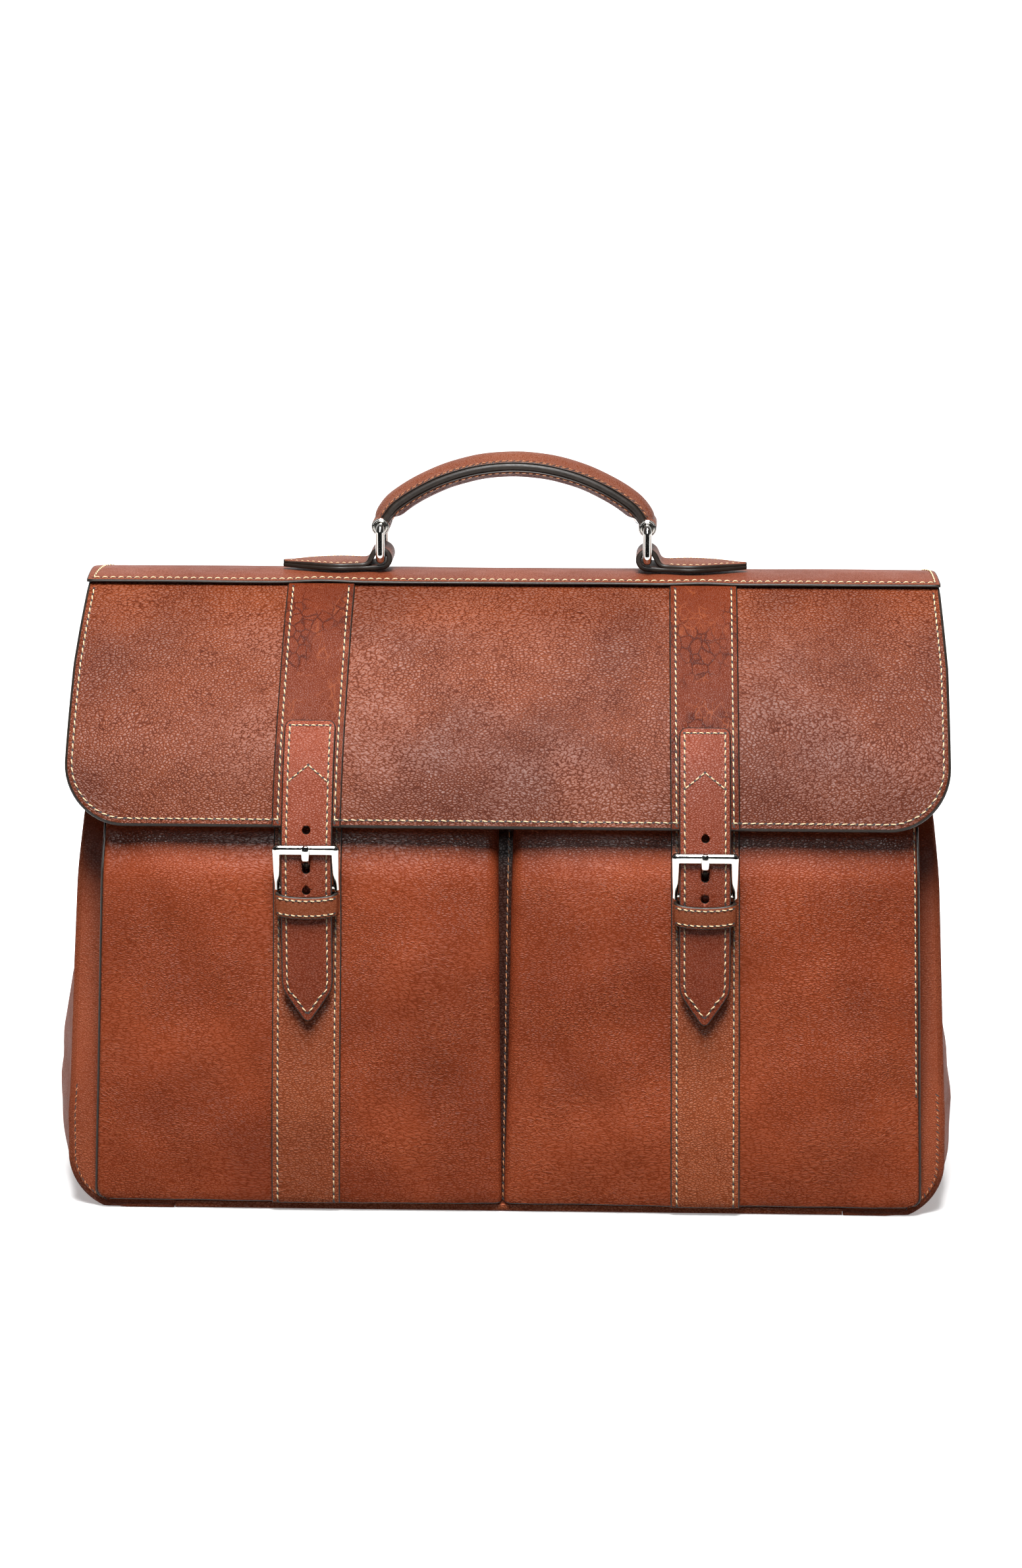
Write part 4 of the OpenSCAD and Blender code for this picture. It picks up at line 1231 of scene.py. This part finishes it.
# Leather wraps each end round a metal eyelet with a rolled rim front and back: [radius, half length]
EYELET = [
    (2.36, 11.0), (2.5, 11.95), (2.85, 12.15), (3.1, 12.0), (3.28, 11.75), (3.5, 11.85),
    (3.8, 12.05), (4.05, 11.85), (4.15, 11.4), (3.3, 11.2), (3.25, 10),
]
eyelet_turn = [(r, -y) for r, y in EYELET] + EYELET[::-1] + [(EYELET[0][0], -EYELET[0][1])]
for name, side in SIDES.items():
    def rings_of(profile, middle=(side * HOLD_X, HANDLE_Y, TUBE_Z)):
        """Rings round the handle's end for a profile of [radius, place along Y]."""
        return [np.insert(oval(32, r, r), 1, y, axis=1) + middle for r, y in profile]

    end_turn = [(4.0, -11.0), (4.3, -10.6), (4.3, 10.6), (4.0, 11.0)]
    end = tube("handle_end_" + name, rings_of(end_turn), [handle_leather, edge_paint])
    add(end, "grip")
    eyelet = tube("eyelet_" + name, rings_of(eyelet_turn), [nickel], caps=False)
    add(eyelet, "grip", ["handle_tube_" + name])

CROWN = smooth([
    [-10.7, 2.35], [-9.9, 3.15], [-7.6, 3.9], [-5.2, 5.0], [-2.5, 5.7], [0, 5.9],
    [2.5, 5.7], [5.2, 5.0], [7.6, 3.9], [9.9, 3.15], [10.7, 2.35],
], 4)
START = 1.0
for piece, sign, hold, ramp, low, mat, node in (
    ("handle_cover", 1, 0.0, 5.5, 0.5, handle_leather, "handle_top"),
    ("handle_under", -1, 6.0, 5.0, 0.25, strap_leather, "handle_underside"),
):
    length = handle_len - 2 * START
    tip = np.array([0, 0.4, 1.2, 2.4, 4.0, 5.5, 6.2, 6.8, 7.6, 8.6])
    along = np.concatenate([tip, spread(10.5, length - 10.5, 2.2), length - tip[::-1]])[:, None]
    near = np.clip((np.minimum(along, along[-1] - along) - hold) / ramp, 0, 1)
    padded = low + (1 - low) * np.sqrt(np.clip(1 - (1 - near) ** 2, 0, 1))
    height = sign * (2.2 + (CROWN[:, 1] - 2.2) * padded) + 0.08 * ripple(CROWN[:, 0], along, 16, 3)
    skin = handle_surface(CROWN[:, 0], (along + START) / handle_len * (STEPS - 1), height)
    cover = slab(piece, skin, 1.2, [mat, edge_paint, lining], toward=(0, 0, sign), lip=0.25, bulge=0.1)
    add(cover, "grip", [node])
    inset = 5 / handle_len * (STEPS - 1)
    k = np.linspace(inset, STEPS - 1 - inset, 90)
    for edge in (-1, 1):
        p, q = [handle_surface(edge * v, k, sign * up) for v, up in ((10.45, 2.85), (11.2, 3.45))]
        seam("grip", p, q - p, pitch=3.2, length=2.3, tilt=3, radius=0.17, lift=0.12)

# Threads and needle holes ------------------------------------------------------------------

for group in threads:
    name = group.split("_")[-1]
    body = {"corner": "case", "keeper_" + name: "closure_" + name}.get(group, group)
    for piece in thread_pieces(group):
        add(piece, body, bends=group in HINGES)

# The CAD's own metal pieces keep their shape and take the polished metal
for kind in ("link_", "snap_socket_", "snap_stud_"):
    for name in SIDES:
        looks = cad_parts[kind + name].data.materials
        looks.clear()
        looks.append(nickel)

# Stage, light and camera ----------------------------------------------------------------------


# The floor is white, and glows softly away from the case so that it stays white to the horizon
def sheet(name, corners, mat):
    obj = mesh(name, corners, [(0, 1, 2, 3)], [mat])
    return obj


floor_look = Shader("studio_floor")
far = floor_look.node("ShaderNodeVectorMath", {0: floor_look.place}, operation="LENGTH").outputs["Value"]
floor_look.set(
    Base_Color=(0.9, 0.9, 0.9, 1.0), Roughness=0.9, Specular_IOR_Level=0.0,
    Emission_Color=(1.0, 1.0, 1.0, 1.0), Emission_Strength=floor_look.span(far, 250, 900, 0.30, 1.1),
)
reach = 30000
corners = [(-reach, -reach, 0), (reach, -reach, 0), (reach, reach, 0), (-reach, reach, 0)]
floor = sheet("studio_floor", corners, floor_look.mat)
floor.visible_diffuse = False

# A dark card in front that only polished metal sees
corners = [(-1300, -900, 2), (1300, -900, 2), (1300, -900, 480), (-1300, -900, 480)]
card_look = plain("studio_card", (24, 24, 24), (30, 30, 30), 0.9, spec=0.0)
card = sheet("studio_card", corners, card_look)
card.visible_camera = card.visible_diffuse = card.visible_shadow = False


def softbox(name, place_at, aim, size, watts, colour=(1, 1, 1)):
    data = bpy.data.lights.new(name, "AREA")
    data.shape, data.size, data.size_y = "RECTANGLE", *size
    data.energy, data.color = watts, colour
    obj = bpy.data.objects.new(name, data)
    bpy.context.scene.collection.objects.link(obj)
    obj.location = place_at
    obj.rotation_mode = "QUATERNION"
    obj.rotation_quaternion = (Vector(aim) - Vector(place_at)).to_track_quat("-Z", "Y")
    return obj


softbox("key", (0.0, -0.95, 1.90), (0, 0, 0.2), (0.7, 1.1), 86)
sheen = softbox("sheen", (-0.04, -1.60, 1.10), (0, 0, 0.2), (0.45, 0.6), 56)
sheen.visible_diffuse = False
bounce = softbox("bounce", (0, -0.42, 0.012), (0, 0, 0.10), (0.7, 0.2), 0.12, (1, 0.94, 0.88))
bounce.visible_camera = bounce.visible_glossy = False

# Dark in front, bright sweep behind
world = bpy.data.worlds.new("studio")
bpy.context.scene.world = world
world.use_nodes = True
tree = world.node_tree
where = tree.nodes.new("ShaderNodeTexCoord")
parts = tree.nodes.new("ShaderNodeSeparateXYZ")
ramp = tree.nodes.new("ShaderNodeMapRange")
tree.links.new(where.outputs["Generated"], parts.inputs[0])
tree.links.new(parts.outputs["Y"], ramp.inputs["Value"])
for socket, value in (("From Min", 0.05), ("From Max", 0.75), ("To Min", 0.06), ("To Max", 0.95)):
    ramp.inputs[socket].default_value = value
tree.links.new(ramp.outputs[0], tree.nodes["Background"].inputs[1])
tree.nodes["Background"].inputs[0].default_value = (1.0, 1.0, 1.0, 1.0)

cam_data = bpy.data.cameras.new("camera")
cam_data.lens, cam_data.sensor_width = 100.84, 36.0
cam_data.clip_start, cam_data.clip_end = 0.1, 200
camera = bpy.data.objects.new("camera", cam_data)
bpy.context.scene.collection.objects.link(camera)
target, distance = Vector((0.0024, -0.069, 0.20945)), 2.0
azimuth, elevation = math.radians(2.3), math.radians(12.0)
flat = math.cos(elevation)
away = Vector((math.sin(azimuth) * flat, -math.cos(azimuth) * flat, math.sin(elevation)))
camera.location = target + away * distance
camera.rotation_mode = "QUATERNION"
camera.rotation_quaternion = (-away).to_track_quat("-Z", "Y")
bpy.context.scene.camera = camera
bpy.context.scene.view_settings.view_transform = "Standard"
